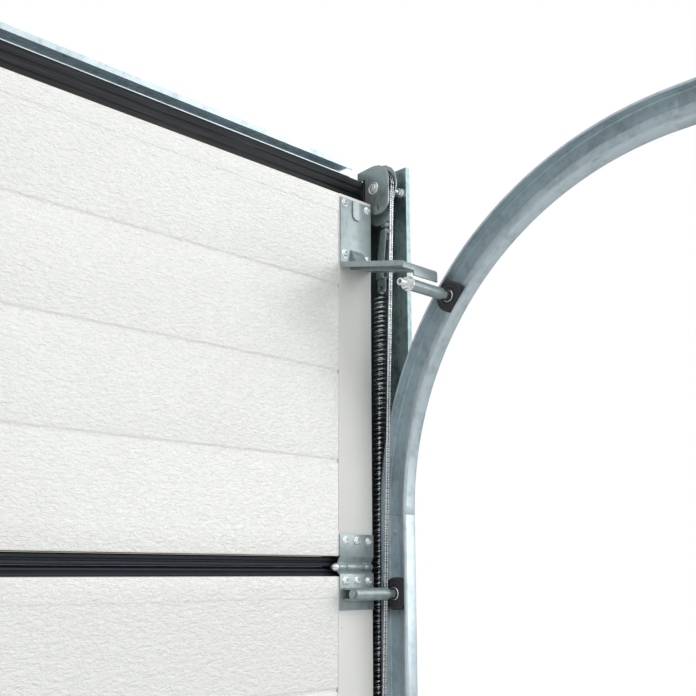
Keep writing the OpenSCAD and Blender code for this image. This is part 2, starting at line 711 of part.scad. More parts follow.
jamb_post_right();
jamb_post_left();
track_vertical_right();
track_vertical_left();
track_curve_right();
track_curve_left();
track_ceiling_right();
track_ceiling_left();
track_splices();
ceiling_hangers();
rear_rail();
fascia_board();
fascia_rail();
frame_seals();
pulley_bracket_right();
pulley_bracket_left();
pulley_axles();
bracket_bolts();
spring_hangers();
floor_brackets();
springs_outer();
springs_inner();
door_ropes();
back_ropes();
block_ropes();
section_1_skins();
section_2_skins();
section_3_skins();
lower_cores();
lower_end_caps();
lower_joint_rails();
bottom_seal();
bottom_brackets();
hinges_1();
hinges_2();
hinges_3_lower_leaves();
hinge_pins();
roller_holders();
roller_stems();
lower_screws();
top_section_skins();
top_section_core();
top_end_caps();
top_joint_rail();
top_support_right();
top_support_left();
top_stems();
stem_nuts();
hinges_3_upper_leaves();
top_screws();
top_roller_right();
top_roller_left();
rollers_3();
rollers_2();
rollers_1();
rollers_bottom();
top_pulleys();
floor_pulleys();
spring_blocks();
block_pulleys();
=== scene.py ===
"""Inside gear and leaf of a sectional overhead garage door, dressed for a closed-door view."""

import logging
import math
from dataclasses import dataclass, field
from enum import Enum
from typing import Callable, Iterable, Sequence

import bmesh
import bpy
from mathutils import Matrix, Vector


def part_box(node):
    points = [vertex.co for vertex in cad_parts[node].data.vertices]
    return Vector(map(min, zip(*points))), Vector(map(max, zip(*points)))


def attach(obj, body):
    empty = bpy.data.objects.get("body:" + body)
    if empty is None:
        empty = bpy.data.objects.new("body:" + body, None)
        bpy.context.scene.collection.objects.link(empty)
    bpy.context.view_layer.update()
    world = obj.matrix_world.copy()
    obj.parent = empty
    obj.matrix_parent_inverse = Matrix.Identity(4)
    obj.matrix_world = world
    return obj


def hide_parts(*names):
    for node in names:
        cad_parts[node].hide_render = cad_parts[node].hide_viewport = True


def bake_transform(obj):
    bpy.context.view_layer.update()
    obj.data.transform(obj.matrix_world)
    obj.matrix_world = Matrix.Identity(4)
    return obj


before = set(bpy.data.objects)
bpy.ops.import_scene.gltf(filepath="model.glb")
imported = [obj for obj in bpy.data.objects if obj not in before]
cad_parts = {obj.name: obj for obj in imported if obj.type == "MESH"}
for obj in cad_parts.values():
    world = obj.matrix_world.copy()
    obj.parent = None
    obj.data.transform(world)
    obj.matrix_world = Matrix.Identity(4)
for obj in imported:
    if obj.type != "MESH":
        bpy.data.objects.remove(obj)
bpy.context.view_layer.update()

MM = 0.001
STRETCHED = "between two bodies"
Pair = tuple[float, float]
Corner = tuple[float, float, float]
Colour = tuple[float, float, float]
log = logging.getLogger("garage_door")


class Axis(Enum):
    """Direction that a turned or extruded shape runs along, with the turn that brings +Z there."""

    X = Matrix.Rotation(math.pi / 2, 3, "Y")
    Y = Matrix.Rotation(-math.pi / 2, 3, "X")
    Z = Matrix.Identity(3)


class Side(Enum):
    """Side of the door, seen from inside."""

    RIGHT = "right"
    LEFT = "left"


# ---------------------------------------------------------------- mesh tools


class Shape:
    """A mesh in the making, in millimetres, in the frame's own axes."""

    def __init__(self) -> None:
        """Starts an empty shape."""
        self.bm = bmesh.new()

    def take(self, *others: "Shape") -> "Shape":
        """Adds other shapes to this one and empties them.

        Args:
            others: The shapes to take in.

        Returns:
            This shape.
        """
        for other in others:
            carrier = bpy.data.meshes.new("carrier")
            other.bm.to_mesh(carrier)
            other.bm.free()
            self.bm.from_mesh(carrier)
            bpy.data.meshes.remove(carrier)
        return self

    def copy(self) -> "Shape":
        """Returns a copy of this shape."""
        twin = Shape()
        twin.bm = self.bm.copy()
        return twin

    def move(self, x: float = 0.0, y: float = 0.0, z: float = 0.0) -> "Shape":
        """Moves the shape and returns it."""
        bmesh.ops.translate(self.bm, vec=(x, y, z), verts=self.bm.verts[:])
        return self

    def turn(self, degrees: float, axis: str) -> "Shape":
        """Turns the shape about an axis through the origin and returns it."""
        matrix = Matrix.Rotation(math.radians(degrees), 3, axis)
        bmesh.ops.rotate(self.bm, cent=(0, 0, 0), matrix=matrix, verts=self.bm.verts[:])
        return self

    def along(self, axis: Axis) -> "Shape":
        """Turns a shape built along +Z to run along another axis and returns it."""
        bmesh.ops.rotate(self.bm, cent=(0, 0, 0), matrix=axis.value, verts=self.bm.verts[:])
        return self

    def mirrored(self) -> "Shape":
        """Returns a copy on the other side of the door, with its faces outwards."""
        twin = self.copy()
        bmesh.ops.scale(twin.bm, vec=(-1, 1, 1), verts=twin.bm.verts[:])
        bmesh.ops.reverse_faces(twin.bm, faces=twin.bm.faces[:])
        return twin

    def both(self) -> "Shape":
        """Adds the mirrored copy to the shape and returns it."""
        return self.take(self.mirrored())

    def on(self, side: Side) -> "Shape":
        """Returns the shape itself on the right, or its mirrored copy on the left."""
        return self if side is Side.RIGHT else self.mirrored()

    def outwards(self) -> "Shape":
        """Merges doubles, points every face outwards and returns the shape."""
        bmesh.ops.remove_doubles(self.bm, verts=self.bm.verts[:], dist=0.001)
        bmesh.ops.recalc_face_normals(self.bm, faces=self.bm.faces[:])
        return self

    def soften(self, radius: float, segments: int = 2, above: float = 40.0) -> "Shape":
        """Rounds the sharp edges.

        Args:
            radius: Radius of the rounding.
            segments: Steps across the rounding.
            above: Smallest angle between two faces, in degrees, that counts as sharp.

        Returns:
            This shape.
        """
        limit = math.radians(above)
        sharp = [e for e in self.bm.edges if len(e.link_faces) == 2 and e.calc_face_angle(0) > limit]
        bmesh.ops.bevel(
            self.bm, geom=sharp, offset=radius, offset_type="OFFSET", segments=segments,
            profile=0.5, affect="EDGES", material=-1, clamp_overlap=True,
        )
        return self

    def piece(self, name: str, finish: "Finish", body: str, *stands_for: str) -> bpy.types.Object:
        """Turns the shape into a finished object.

        Args:
            name: Name of the piece.
            finish: Finish that it gets.
            body: CAD body that it rides on, or STRETCHED for a piece that spans two bodies and is left unattached.
            stands_for: CAD nodes that it replaces.

        Returns:
            The object, in metres, at the origin.
        """
        bmesh.ops.scale(self.bm, vec=(MM, MM, MM), verts=self.bm.verts[:])
        crease = math.radians(32)
        for face in self.bm.faces:
            face.smooth = True
        for edge in self.bm.edges:
            edge.smooth = len(edge.link_faces) == 2 and edge.calc_face_angle(0) < crease
        mesh = bpy.data.meshes.new(name)
        self.bm.to_mesh(mesh)
        self.bm.free()
        mesh.materials.append(finish.material())
        thing = bpy.data.objects.new(name, mesh)
        bpy.context.scene.collection.objects.link(thing)
        if body != STRETCHED:
            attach(thing, body)
        if stands_for:
            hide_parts(*stands_for)
        log.info("%s: %d faces, rides on %s", name, len(mesh.polygons), body)
        return thing


def round_corners(bm: bmesh.types.BMesh, corners: Sequence[tuple[bmesh.types.BMVert, float]]) -> None:
    """Rounds single corners of an outline or a path, each to its own radius."""
    for vert, radius in corners:
        if radius <= 0:
            continue
        ways = [(e.other_vert(vert).co - vert.co).normalized() for e in vert.link_edges]
        half = ways[0].angle(ways[1]) / 2
        bmesh.ops.bevel(
            bm, geom=[vert], offset=radius / math.tan(half), offset_type="OFFSET",
            segments=max(2, int(6 - half * 2.4)), profile=0.5, affect="VERTICES", material=-1,
            clamp_overlap=False,
        )


def block(low: Iterable[float], high: Iterable[float], rounding: float = 0.4) -> Shape:
    """Makes a box with rounded edges from its lowest to its highest corner."""
    low, high = Vector(low), Vector(high)
    shape = Shape()
    bmesh.ops.create_cube(shape.bm, size=1.0)
    bmesh.ops.scale(shape.bm, vec=high - low, verts=shape.bm.verts[:])
    shape.move(*((low + high) / 2))
    return shape.soften(rounding) if rounding > 0 else shape


def rod(
    axis: Axis, place: Iterable[float], length: float, diameter: float,
    chamfer: float = 0.4, sides: int = 32,
) -> Shape:
    """Makes a round or many-sided bar.

    Args:
        axis: Direction that it runs along.
        place: Middle of its first end.
        length: Length of the bar.
        diameter: Diameter over its corners.
        chamfer: Rounding of the end edges.
        sides: Number of sides.

    Returns:
        The bar.
    """
    shape = Shape()
    bmesh.ops.create_cone(
        shape.bm, cap_ends=True, segments=sides, radius1=diameter / 2, radius2=diameter / 2, depth=length,
    )
    shape.move(z=length / 2)
    if chamfer > 0:
        shape.soften(chamfer, 2, 50.0 if sides > 8 else 70.0)
    return shape.along(axis).move(*place)


def turned(axis: Axis, place: Iterable[float], profile: Sequence[Pair], sides: int = 48) -> Shape:
    """Turns a profile on a lathe.

    Args:
        axis: Axis of the lathe.
        place: Point where the profile's second number is zero.
        profile: Radius and place along the axis of each point.
        sides: Steps round the axis.

    Returns:
        The turned shape.
    """
    shape = Shape()
    verts = [shape.bm.verts.new((r, 0, h)) for r, h in profile]
    edges = [shape.bm.edges.new(pair) for pair in zip(verts, verts[1:])]
    bmesh.ops.spin(
        shape.bm, geom=verts + edges, cent=(0, 0, 0), axis=(0, 0, 1), angle=2 * math.pi,
        steps=sides, use_merge=True,
    )
    return shape.outwards().along(axis).move(*place)


def sheet_cut(
    outline: Sequence[Corner], start: float, thickness: float,
    holes: Sequence[Sequence[Corner]] = (), rounding: float = 0.3,
) -> Shape:
    """Cuts a flat plate that stands in the Y-Z plane.

    Args:
        outline: Y, Z and radius of each corner.
        start: X of its first face.
        thickness: Thickness of the plate.
        holes: Outlines of its holes.
        rounding: Rounding of the edges.

    Returns:
        The plate.
    """
    shape = Shape()
    for loop in (outline, *holes):
        verts = [shape.bm.verts.new((start, y, z)) for y, z, _ in loop]
        for i, vert in enumerate(verts):
            shape.bm.edges.new((vert, verts[(i + 1) % len(verts)]))
        round_corners(shape.bm, [(v, c[2]) for v, c in zip(verts, loop)])
    bmesh.ops.triangle_fill(shape.bm, use_beauty=True, edges=shape.bm.edges[:])
    grown = bmesh.ops.extrude_face_region(shape.bm, geom=shape.bm.faces[:])
    moved = [g for g in grown["geom"] if isinstance(g, bmesh.types.BMVert)]
    bmesh.ops.translate(shape.bm, vec=(thickness, 0, 0), verts=moved)
    shape.outwards()
    return shape.soften(rounding, 2, 60.0)


class Strip:
    """A bent sheet-metal section, laid out as a path in its own plane."""

    def __init__(self, path: Sequence[Corner], plane: Callable[[float, float], Iterable[float]]) -> None:
        """Lays the path out.

        Args:
            path: Two coordinates and the bend radius of each point; the ends have no bend.
            plane: Turns the two coordinates into a point of the frame.
        """
        self.shape = Shape()
        bm = self.shape.bm
        verts = [bm.verts.new(plane(a, b)) for a, b, _ in path]
        for pair in zip(verts, verts[1:]):
            bm.edges.new(pair)
        round_corners(bm, [(v, p[2]) for v, p in zip(verts[1:-1], path[1:-1])])

    def run(self, travel: Iterable[float], steps: int = 1) -> "Strip":
        """Extrudes the section along a straight line."""
        step = Vector(travel) / steps
        edges = self.shape.bm.edges[:]
        for _ in range(steps):
            grown = bmesh.ops.extrude_edge_only(self.shape.bm, edges=edges)["geom"]
            moved = [g for g in grown if isinstance(g, bmesh.types.BMVert)]
            bmesh.ops.translate(self.shape.bm, vec=step, verts=moved)
            edges = [g for g in grown if isinstance(g, bmesh.types.BMEdge) and
                     all(v in moved for v in g.verts)]
        return self

    def swing(self, centre: Iterable[float], degrees: float, steps: int) -> "Strip":
        """Spins the section about an axis along X."""
        bm = self.shape.bm
        bmesh.ops.spin(
            bm, geom=bm.verts[:] + bm.edges[:], cent=centre, axis=(1, 0, 0),
            angle=math.radians(degrees), steps=steps, use_merge=False,
        )
        return self

    def thick(self, thickness: float, rounding: float = 0.0) -> Shape:
        """Gives the sheet its thickness on both sides of the path.

        Args:
            thickness: Thickness of the sheet.
            rounding: Rounding of its cut edges.

        Returns:
            The closed shape.
        """
        shape = self.shape.outwards()
        bm = shape.bm
        bm.normal_update()
        for vert in bm.verts:
            vert.co += vert.normal * (thickness / 2)
        bmesh.ops.solidify(bm, geom=bm.faces[:], thickness=thickness)
        shape.outwards()
        return shape.soften(rounding, 2, 60.0) if rounding > 0 else shape


def screw_sweep(section: Shape, lead: float, turns: int, steps: int) -> Shape:
    """Sweeps a closed loop along a screw line about Z, one turn by spin and the rest by doubling.

    Args:
        section: The loop, in the X-Z plane of the first turn or lying flat on the axis.
        lead: Rise of one turn.
        turns: Number of turns.
        steps: Steps in one turn.

    Returns:
        The swept shape with closed ends.
    """
    bm = section.bm
    ends = [list(bm.verts)]
    grown = bmesh.ops.spin(
        bm, geom=bm.verts[:] + bm.edges[:], cent=(0, 0, 0), axis=(0, 0, 1), angle=2 * math.pi,
        dvec=(0, 0, lead / steps), steps=steps, use_merge=False,
    )
    ends.append([g for g in grown["geom_last"] if isinstance(g, bmesh.types.BMVert)])
    lift = sum(v.co.z for v in ends[1]) / len(ends[1]) - sum(v.co.z for v in ends[0]) / len(ends[0])
    one = bm.copy()
    done, whole = 1, Shape()
    whole.bm = one
    while done < turns:
        batch = whole.copy()
        if done * 2 > turns:
            spare = (done * 2 - turns) * lift
            top = max(v.co.z for v in batch.bm.verts)
            size = max(v.co.z for v in ends[0]) - min(v.co.z for v in ends[0])
            cut = [v for v in batch.bm.verts if v.co.z > top - spare + size * 0.001]
            bmesh.ops.delete(batch.bm, geom=cut, context="VERTS")
            batch.move(z=done * lift)
            whole.take(batch)
            break
        batch.move(z=done * lift)
        whole.take(batch)
        done *= 2
    section.bm.free()
    bmesh.ops.remove_doubles(whole.bm, verts=whole.bm.verts[:], dist=0.01)
    loose = [e for e in whole.bm.edges if len(e.link_faces) == 1]
    bmesh.ops.holes_fill(whole.bm, edges=loose, sides=0)
    bmesh.ops.recalc_face_normals(whole.bm, faces=whole.bm.faces[:])
    return whole


def wire(points: Sequence[Iterable[float]], diameter: float, detail: int = 3) -> Shape:
    """Bends a round wire through points.

    Args:
        points: Points of its middle line.
        diameter: Diameter of the wire.
        detail: Roundness of its section.

    Returns:
        The wire with closed ends.
    """
    curve = bpy.data.curves.new("wire", "CURVE")
    curve.dimensions = "3D"
    curve.bevel_depth = diameter / 2
    curve.bevel_resolution = detail
    curve.use_fill_caps = True
    curve.resolution_u = 6
    spline = curve.splines.new("NURBS")
    spline.points.add(len(points) - 1)
    for knot, point in zip(spline.points, points):
        knot.co = (*point, 1.0)
    spline.use_endpoint_u = True
    spline.order_u = 3
    holder = bpy.data.objects.new("wire", curve)
    mesh = bpy.data.meshes.new_from_object(holder)
    shape = Shape()
    shape.bm.from_mesh(mesh)
    bpy.data.objects.remove(holder)
    bpy.data.curves.remove(curve)
    bpy.data.meshes.remove(mesh)
    return shape.outwards()


@dataclass(frozen=True)
class Extent:
    """Lowest and highest corner of a CAD node, in millimetres."""

    low: Vector
    high: Vector

    @classmethod
    def of(cls, node: str) -> "Extent":
        """Reads the extent of a CAD node."""
        low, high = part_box(node)
        return cls(low / MM, high / MM)

    @property
    def middle(self) -> Vector:
        """Middle of the box."""
        return (self.low + self.high) / 2


# ------------------------------------------------------------------ finishes


class Board:
    """Node board of one material, wired a node at a time on Object coordinates."""

    def __init__(self, name: str) -> None:
        """Starts a material with its main shader."""
        self.material = bpy.data.materials.new(name)
        self.material.use_nodes = True
        self.tree = self.material.node_tree
        self.shader = self.tree.nodes["Principled BSDF"]
        self.coords = self.tree.nodes.new("ShaderNodeTexCoord").outputs["Object"]
        self.normal = None

    def set(self, **sockets: object) -> None:
        """Sets sockets of the main shader, with underscores for spaces."""
        for key, value in sockets.items():
            self.shader.inputs[key.replace("_", " ")].default_value = value

    def stretched(self, *scale: float) -> bpy.types.NodeSocket:
        """Returns Object coordinates scaled along X, Y and Z."""
        node = self.tree.nodes.new("ShaderNodeMapping")
        node.inputs["Scale"].default_value = scale
        self.tree.links.new(self.coords, node.inputs["Vector"])
        return node.outputs["Vector"]

    def noise(
        self, scale: float, detail: float = 3.0, stretch: Sequence[float] = (1, 1, 1),
        distortion: float = 0.0, roughness: float = 0.5,
    ) -> bpy.types.NodeSocket:
        """Returns a noise pattern's value."""
        node = self.tree.nodes.new("ShaderNodeTexNoise")
        node.inputs["Scale"].default_value = scale
        node.inputs["Detail"].default_value = detail
        node.inputs["Distortion"].default_value = distortion
        node.inputs["Roughness"].default_value = roughness
        self.tree.links.new(self.stretched(*stretch), node.inputs["Vector"])
        return node.outputs["Fac"]

    def cells(
        self, scale: float, stretch: Sequence[float] = (1, 1, 1), feature: str = "F1",
        warp: bpy.types.NodeSocket | None = None,
    ) -> bpy.types.NodeSocket:
        """Returns a cell pattern's distance, with its coordinates pushed about by warp."""
        node = self.tree.nodes.new("ShaderNodeTexVoronoi")
        node.feature = feature
        node.inputs["Scale"].default_value = scale
        vector = self.stretched(*stretch)
        if warp is not None:
            push = self.tree.nodes.new("ShaderNodeVectorMath")
            push.operation = "MULTIPLY_ADD"
            push.inputs[1].default_value = (0.012, 0.012, 0.012)
            self.tree.links.new(warp, push.inputs[0])
            self.tree.links.new(vector, push.inputs[2])
            vector = push.outputs["Vector"]
        self.tree.links.new(vector, node.inputs["Vector"])
        return node.outputs["Distance"]

    def math(self, operation: str, first: object, second: object) -> bpy.types.NodeSocket:
        """Returns one sum of two values."""
        node = self.tree.nodes.new("ShaderNodeMath")
        node.operation = operation
        for value, socket in zip((first, second), node.inputs):
            if isinstance(value, bpy.types.NodeSocket):
                self.tree.links.new(value, socket)
            else:
                socket.default_value = value
        return node.outputs[0]

    def span(self, value: bpy.types.NodeSocket, source: Pair, target: Pair) -> bpy.types.NodeSocket:
        """Returns a value mapped from one span to another."""
        node = self.tree.nodes.new("ShaderNodeMapRange")
        for key, number in zip(("From Min", "From Max", "To Min", "To Max"), (*source, *target)):
            node.inputs[key].default_value = number
        self.tree.links.new(value, node.inputs["Value"])
        return node.outputs["Result"]

    def shade(self, value: bpy.types.NodeSocket, stops: Sequence[tuple[float, Colour]]) -> None:
        """Colours the main shader through a ramp of stops."""
        node = self.tree.nodes.new("ShaderNodeValToRGB")
        ramp = node.color_ramp
        while len(ramp.elements) < len(stops):
            ramp.elements.new(0.5)
        for element, (place, colour) in zip(ramp.elements, stops):
            element.position = place
            element.color = (*colour, 1.0)
        self.tree.links.new(value, node.inputs["Fac"])
        self.tree.links.new(node.outputs["Color"], self.shader.inputs["Base Color"])

    def gloss(self, value: bpy.types.NodeSocket, target: Pair) -> None:
        """Drives the roughness between two numbers."""
        self.tree.links.new(self.span(value, (0.3, 0.7), target), self.shader.inputs["Roughness"])

    def relief(self, height: bpy.types.NodeSocket, strength: float, distance: float) -> None:
        """Adds a bump on top of any bump before it."""
        node = self.tree.nodes.new("ShaderNodeBump")
        node.inputs["Strength"].default_value = strength
        node.inputs["Distance"].default_value = distance
        self.tree.links.new(height, node.inputs["Height"])
        if self.normal is not None:
            self.tree.links.new(self.normal, node.inputs["Normal"])
        self.normal = node.outputs["Normal"]
        self.tree.links.new(self.normal, self.shader.inputs["Normal"])


@dataclass(frozen=True)
class Finish:
    """A finish; each kind fills the node board in its own way."""

    name: str
    slot: str

    def material(self) -> bpy.types.Material:
        """Returns the finish's material, made on its first use."""
        ready = bpy.data.materials.get(self.name)
        if ready is not None:
            return ready
        board = Board(self.name)
        self.fill(board)
        return board.material

    def fill(self, board: Board) -> None:
        """Wires the node board."""
        raise NotImplementedError

    def dress(self, *nodes: str) -> None:
        """Gives the finish to CAD nodes that stay visible."""
        for name in nodes:
            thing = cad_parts[name]
            if not thing.material_slots:
                thing.data.materials.append(None)
            for place in thing.material_slots:
                place.material = self.material()
            log.info("%s: dressed in %s", name, self.name)


@dataclass(frozen=True)
class Galvanised(Finish):
    """Rolled galvanised or zinc-plated steel: mottled zinc, drawn streaks and faint spangle."""

    dark: Colour = (0.24, 0.28, 0.29)
    light: Colour = (0.56, 0.61, 0.63)
    run: Sequence[float] = (1.0, 1.0, 0.06)
    rough: Pair = (0.26, 0.46)
    metal: float = 0.85

    def fill(self, board: Board) -> None:
        """Wires mottle, streaks and spangle."""
        mottle = board.noise(26.0, 4.0, distortion=0.6)
        streak = board.noise(240.0, 3.0, self.run)
        spangle = board.cells(120.0)
        mix = board.math("ADD", board.math("MULTIPLY", mottle, 0.55), board.math("MULTIPLY", streak, 0.3))
        mix = board.math("ADD", mix, board.math("MULTIPLY", spangle, 0.15))
        board.shade(mix, [(0.30, self.dark), (0.52, self.light), (0.75, tuple(c * 1.08 for c in self.light))])
        board.gloss(streak, self.rough)
        board.relief(streak, 0.10, 0.0004)
        board.relief(mottle, 0.05, 0.0006)
        board.set(Metallic=self.metal)


@dataclass(frozen=True)
class Embossed(Finish):
    """White coil coat over a leather-grain emboss, semi-gloss."""

    def fill(self, board: Board) -> None:
        """Wires the grain, its fine pores and the slight tone of the coat."""
        drift = board.noise(60.0, 2.0, (1.0, 1.0, 1.0), distortion=0.4)
        grain = board.cells(210.0, (0.52, 1.0, 1.25), "SMOOTH_F1", warp=drift)
        wrinkle = board.noise(300.0, 2.0, (0.55, 1.0, 1.3), distortion=1.1)
        height = board.math("ADD", board.math("MULTIPLY", grain, 0.6), board.math("MULTIPLY", wrinkle, 0.8))
        board.relief(height, 0.85, 0.0022)
        tone = board.noise(3.0, 2.0)
        board.shade(tone, [(0.35, (0.86, 0.855, 0.82)), (0.65, (0.895, 0.893, 0.868))])
        board.gloss(wrinkle, (0.22, 0.32))
        board.set(Specular_IOR_Level=0.6, Coat_Weight=0.25, Coat_Roughness=0.2)


@dataclass(frozen=True)
class Coat(Finish):
    """Smooth factory coat with a little orange peel and tonal drift."""

    low: Colour = (0.72, 0.715, 0.685)
    high: Colour = (0.76, 0.755, 0.725)
    rough: Pair = (0.38, 0.5)
    run: Sequence[float] = (1.0, 1.0, 1.0)
    sheen: float = 0.3

    def fill(self, board: Board) -> None:
        """Wires the drift, the peel and small scuffs."""
        drift = board.noise(9.0, 3.0, self.run)
        peel = board.noise(520.0, 2.0)
        scuff = board.noise(90.0, 5.0, (0.3, 1.0, 1.0), roughness=0.7)
        board.shade(drift, [(0.35, self.low), (0.65, self.high)])
        board.gloss(scuff, self.rough)
        board.relief(peel, 0.05, 0.0003)
        board.relief(scuff, 0.04, 0.0004)
        board.set(Specular_IOR_Level=self.sheen)


@dataclass(frozen=True)
class Woodgrain(Finish):
    """Near-black foil with a fine wood grain along X that glints."""

    def fill(self, board: Board) -> None:
        """Wires the grain lines and their sheen."""
        grain = board.noise(420.0, 4.0, (0.03, 1.0, 1.0), distortion=0.3)
        figure = board.noise(60.0, 3.0, (0.05, 1.0, 1.0), distortion=0.8)
        mix = board.math("ADD", board.math("MULTIPLY", grain, 0.6), board.math("MULTIPLY", figure, 0.4))
        board.shade(mix, [(0.38, (0.006, 0.007, 0.008)), (0.55, (0.016, 0.018, 0.020)),
                          (0.72, (0.060, 0.064, 0.068))])
        board.gloss(mix, (0.42, 0.62))
        board.relief(mix, 0.35, 0.0008)
        board.set(Specular_IOR_Level=0.22)


@dataclass(frozen=True)
class Moulded(Finish):
    """Moulded rubber or nylon with a satin skin and faint flow marks."""

    colour: Colour = (0.012, 0.012, 0.014)
    rough: Pair = (0.28, 0.42)

    def fill(self, board: Board) -> None:
        """Wires flow marks and a fine skin."""
        flow = board.noise(35.0, 3.0, distortion=0.5)
        skin = board.noise(700.0, 2.0)
        board.shade(flow, [(0.35, self.colour), (0.7, tuple(c * 1.9 + 0.004 for c in self.colour))])
        board.gloss(flow, self.rough)
        board.relief(skin, 0.08, 0.0002)
        board.set(Specular_IOR_Level=0.3)


@dataclass(frozen=True)
class OiledWire(Finish):
    """Dark patented spring wire, oiled, with drawn lines."""

    def fill(self, board: Board) -> None:
        """Wires the oil film and draw marks."""
        film = board.noise(48.0, 3.0, distortion=0.7)
        draw = board.noise(900.0, 2.0, (1.0, 1.0, 0.3))
        board.shade(film, [(0.3, (0.30, 0.31, 0.31)), (0.55, (0.52, 0.54, 0.54)),
                           (0.8, (0.78, 0.80, 0.80))])
        board.gloss(film, (0.16, 0.30))
        board.relief(draw, 0.1, 0.0002)
        board.set(Metallic=0.95, Coat_Weight=0.3, Coat_Roughness=0.12)


@dataclass(frozen=True)
class Foam(Finish):
    """Rigid foam with an open-cell cut face."""

    def fill(self, board: Board) -> None:
        """Wires the cells."""
        cell = board.cells(900.0)
        board.shade(cell, [(0.1, (0.62, 0.50, 0.26)), (0.6, (0.80, 0.70, 0.44))])
        board.relief(cell, 0.5, 0.0006)
        board.set(Roughness=0.9)


POST = Galvanised("post_zinc", "galvanised_post", (0.10, 0.145, 0.148), (0.27, 0.36, 0.365),
                  (1.0, 1.0, 0.04), (0.24, 0.42))
TRACK = Galvanised("track_zinc", "galvanised_track", (0.36, 0.43, 0.46), (0.56, 0.65, 0.69),
                   (1.0, 0.15, 0.15), (0.34, 0.48), 0.7)
PLATE = Galvanised("plate_zinc", "galvanised_plate", (0.22, 0.265, 0.27), (0.34, 0.40, 0.405),
                   (0.6, 1.0, 0.4), (0.34, 0.46), 0.55)
FASTENER = Galvanised("fastener_zinc", "zinc_fastener", (0.50, 0.53, 0.53), (0.82, 0.85, 0.85),
                      (1.0, 1.0, 1.0), (0.18, 0.32), 0.6)
RACE = Galvanised("race_zinc", "zinc_fastener", (0.75, 0.77, 0.78), (0.92, 0.93, 0.94),
                  (1.0, 1.0, 1.0), (0.14, 0.26), 0.9)
ROPE = Galvanised("rope_zinc", "wire_rope", (0.40, 0.42, 0.43), (0.78, 0.80, 0.81),
                  (1.0, 1.0, 1.0), (0.18, 0.32), 0.95)
WHITE = Embossed("embossed_white", "white_embossed")
CAP = Coat("cap_grey", "end_cap_grey")
RAIL = Coat("rail_anthracite", "joint_anthracite", (0.014, 0.019, 0.028), (0.022, 0.029, 0.042),
            (0.40, 0.55), (0.02, 1.0, 1.0), 0.3)
FASCIA = Woodgrain("fascia_foil", "fascia_black")
SEAL = Moulded("seal_rubber", "seal_rubber", (0.016, 0.016, 0.018), (0.55, 0.7))
NYLON = Moulded("roller_nylon", "roller_nylon", (0.008, 0.008, 0.010), (0.22, 0.36))
PULLEY = Moulded("pulley_nylon", "pulley_black", (0.010, 0.010, 0.011), (0.24, 0.4))
SPRING = OiledWire("spring_wire", "spring_steel")
FOAM = Foam("foam", "insulation_foam")


# ---------------------------------------------------------- shared small parts


@dataclass(frozen=True)
class Fasteners:
    """Screws, nuts and bolts, each made where it sits."""

    head_d: float = 11.4
    head_h: float = 3.4
    socket_d: float = 4.6

    def button_head(self, x: float, y: float, z: float) -> Shape:
        """Makes a round head with a flange and a socket, standing towards -Y from a face.

        Args:
            x: X of its axis.
            y: Y of the face that it sits on.
            z: Z of its axis.

        Returns:
            The head.
        """
        r, h, s = self.head_d / 2, self.head_h, self.socket_d / 2
        dome = [(r * 0.84 * math.cos(a), 0.8 + (h - 0.8) * math.sin(a))
                for a in (math.radians(d) for d in (0, 18, 36, 52))]
        profile = [(r, 0.0), (r, 0.6), (r * 0.86, 0.8), *dome, (s + 0.3, h), (s, h - 0.3), (s, 1.2), (0.0, 0.9)]
        return turned(Axis.Z, (0, 0, 0), profile, 24).turn(90, "X").move(x, y, z)

    def flange_nut(self, x: float, y: float, z: float, across: float, flange: float, height: float) -> Shape:
        """Makes a hexagonal nut with a toothed flange, standing towards -X from a face."""
        teeth = turned(Axis.Z, (0, 0, 0), [(across / 2.6, 0.0), (flange / 2, 0.0), (flange / 2, 1.2),
                                           (across / 2, 2.4), (across / 2.6, 2.4)], 40)
        rim = [v for v in teeth.bm.verts if v.co.xy.length > flange / 2 - 0.1]
        for i, vert in enumerate(sorted(rim, key=lambda v: math.atan2(v.co.y, v.co.x))):
            vert.co.xy *= 0.965 if (i // 2) % 2 else 1.0
        bodyhex = rod(Axis.Z, (0, 0, 1.0), height - 1.0, across / math.cos(math.pi / 6), 0.7, 6)
        return teeth.take(bodyhex).turn(-90, "Y").move(x, y, z)

    def hex_head(self, x: float, y: float, z: float, across: float, height: float) -> Shape:
        """Makes a plain hexagonal head, standing towards -X from a face."""
        return rod(Axis.Z, (0, 0, 0), height, across / math.cos(math.pi / 6), 0.6, 6).turn(-90, "Y").move(x, y, z)


FASTEN = Fasteners()


# ---------------------------------------------------------------- the leaf


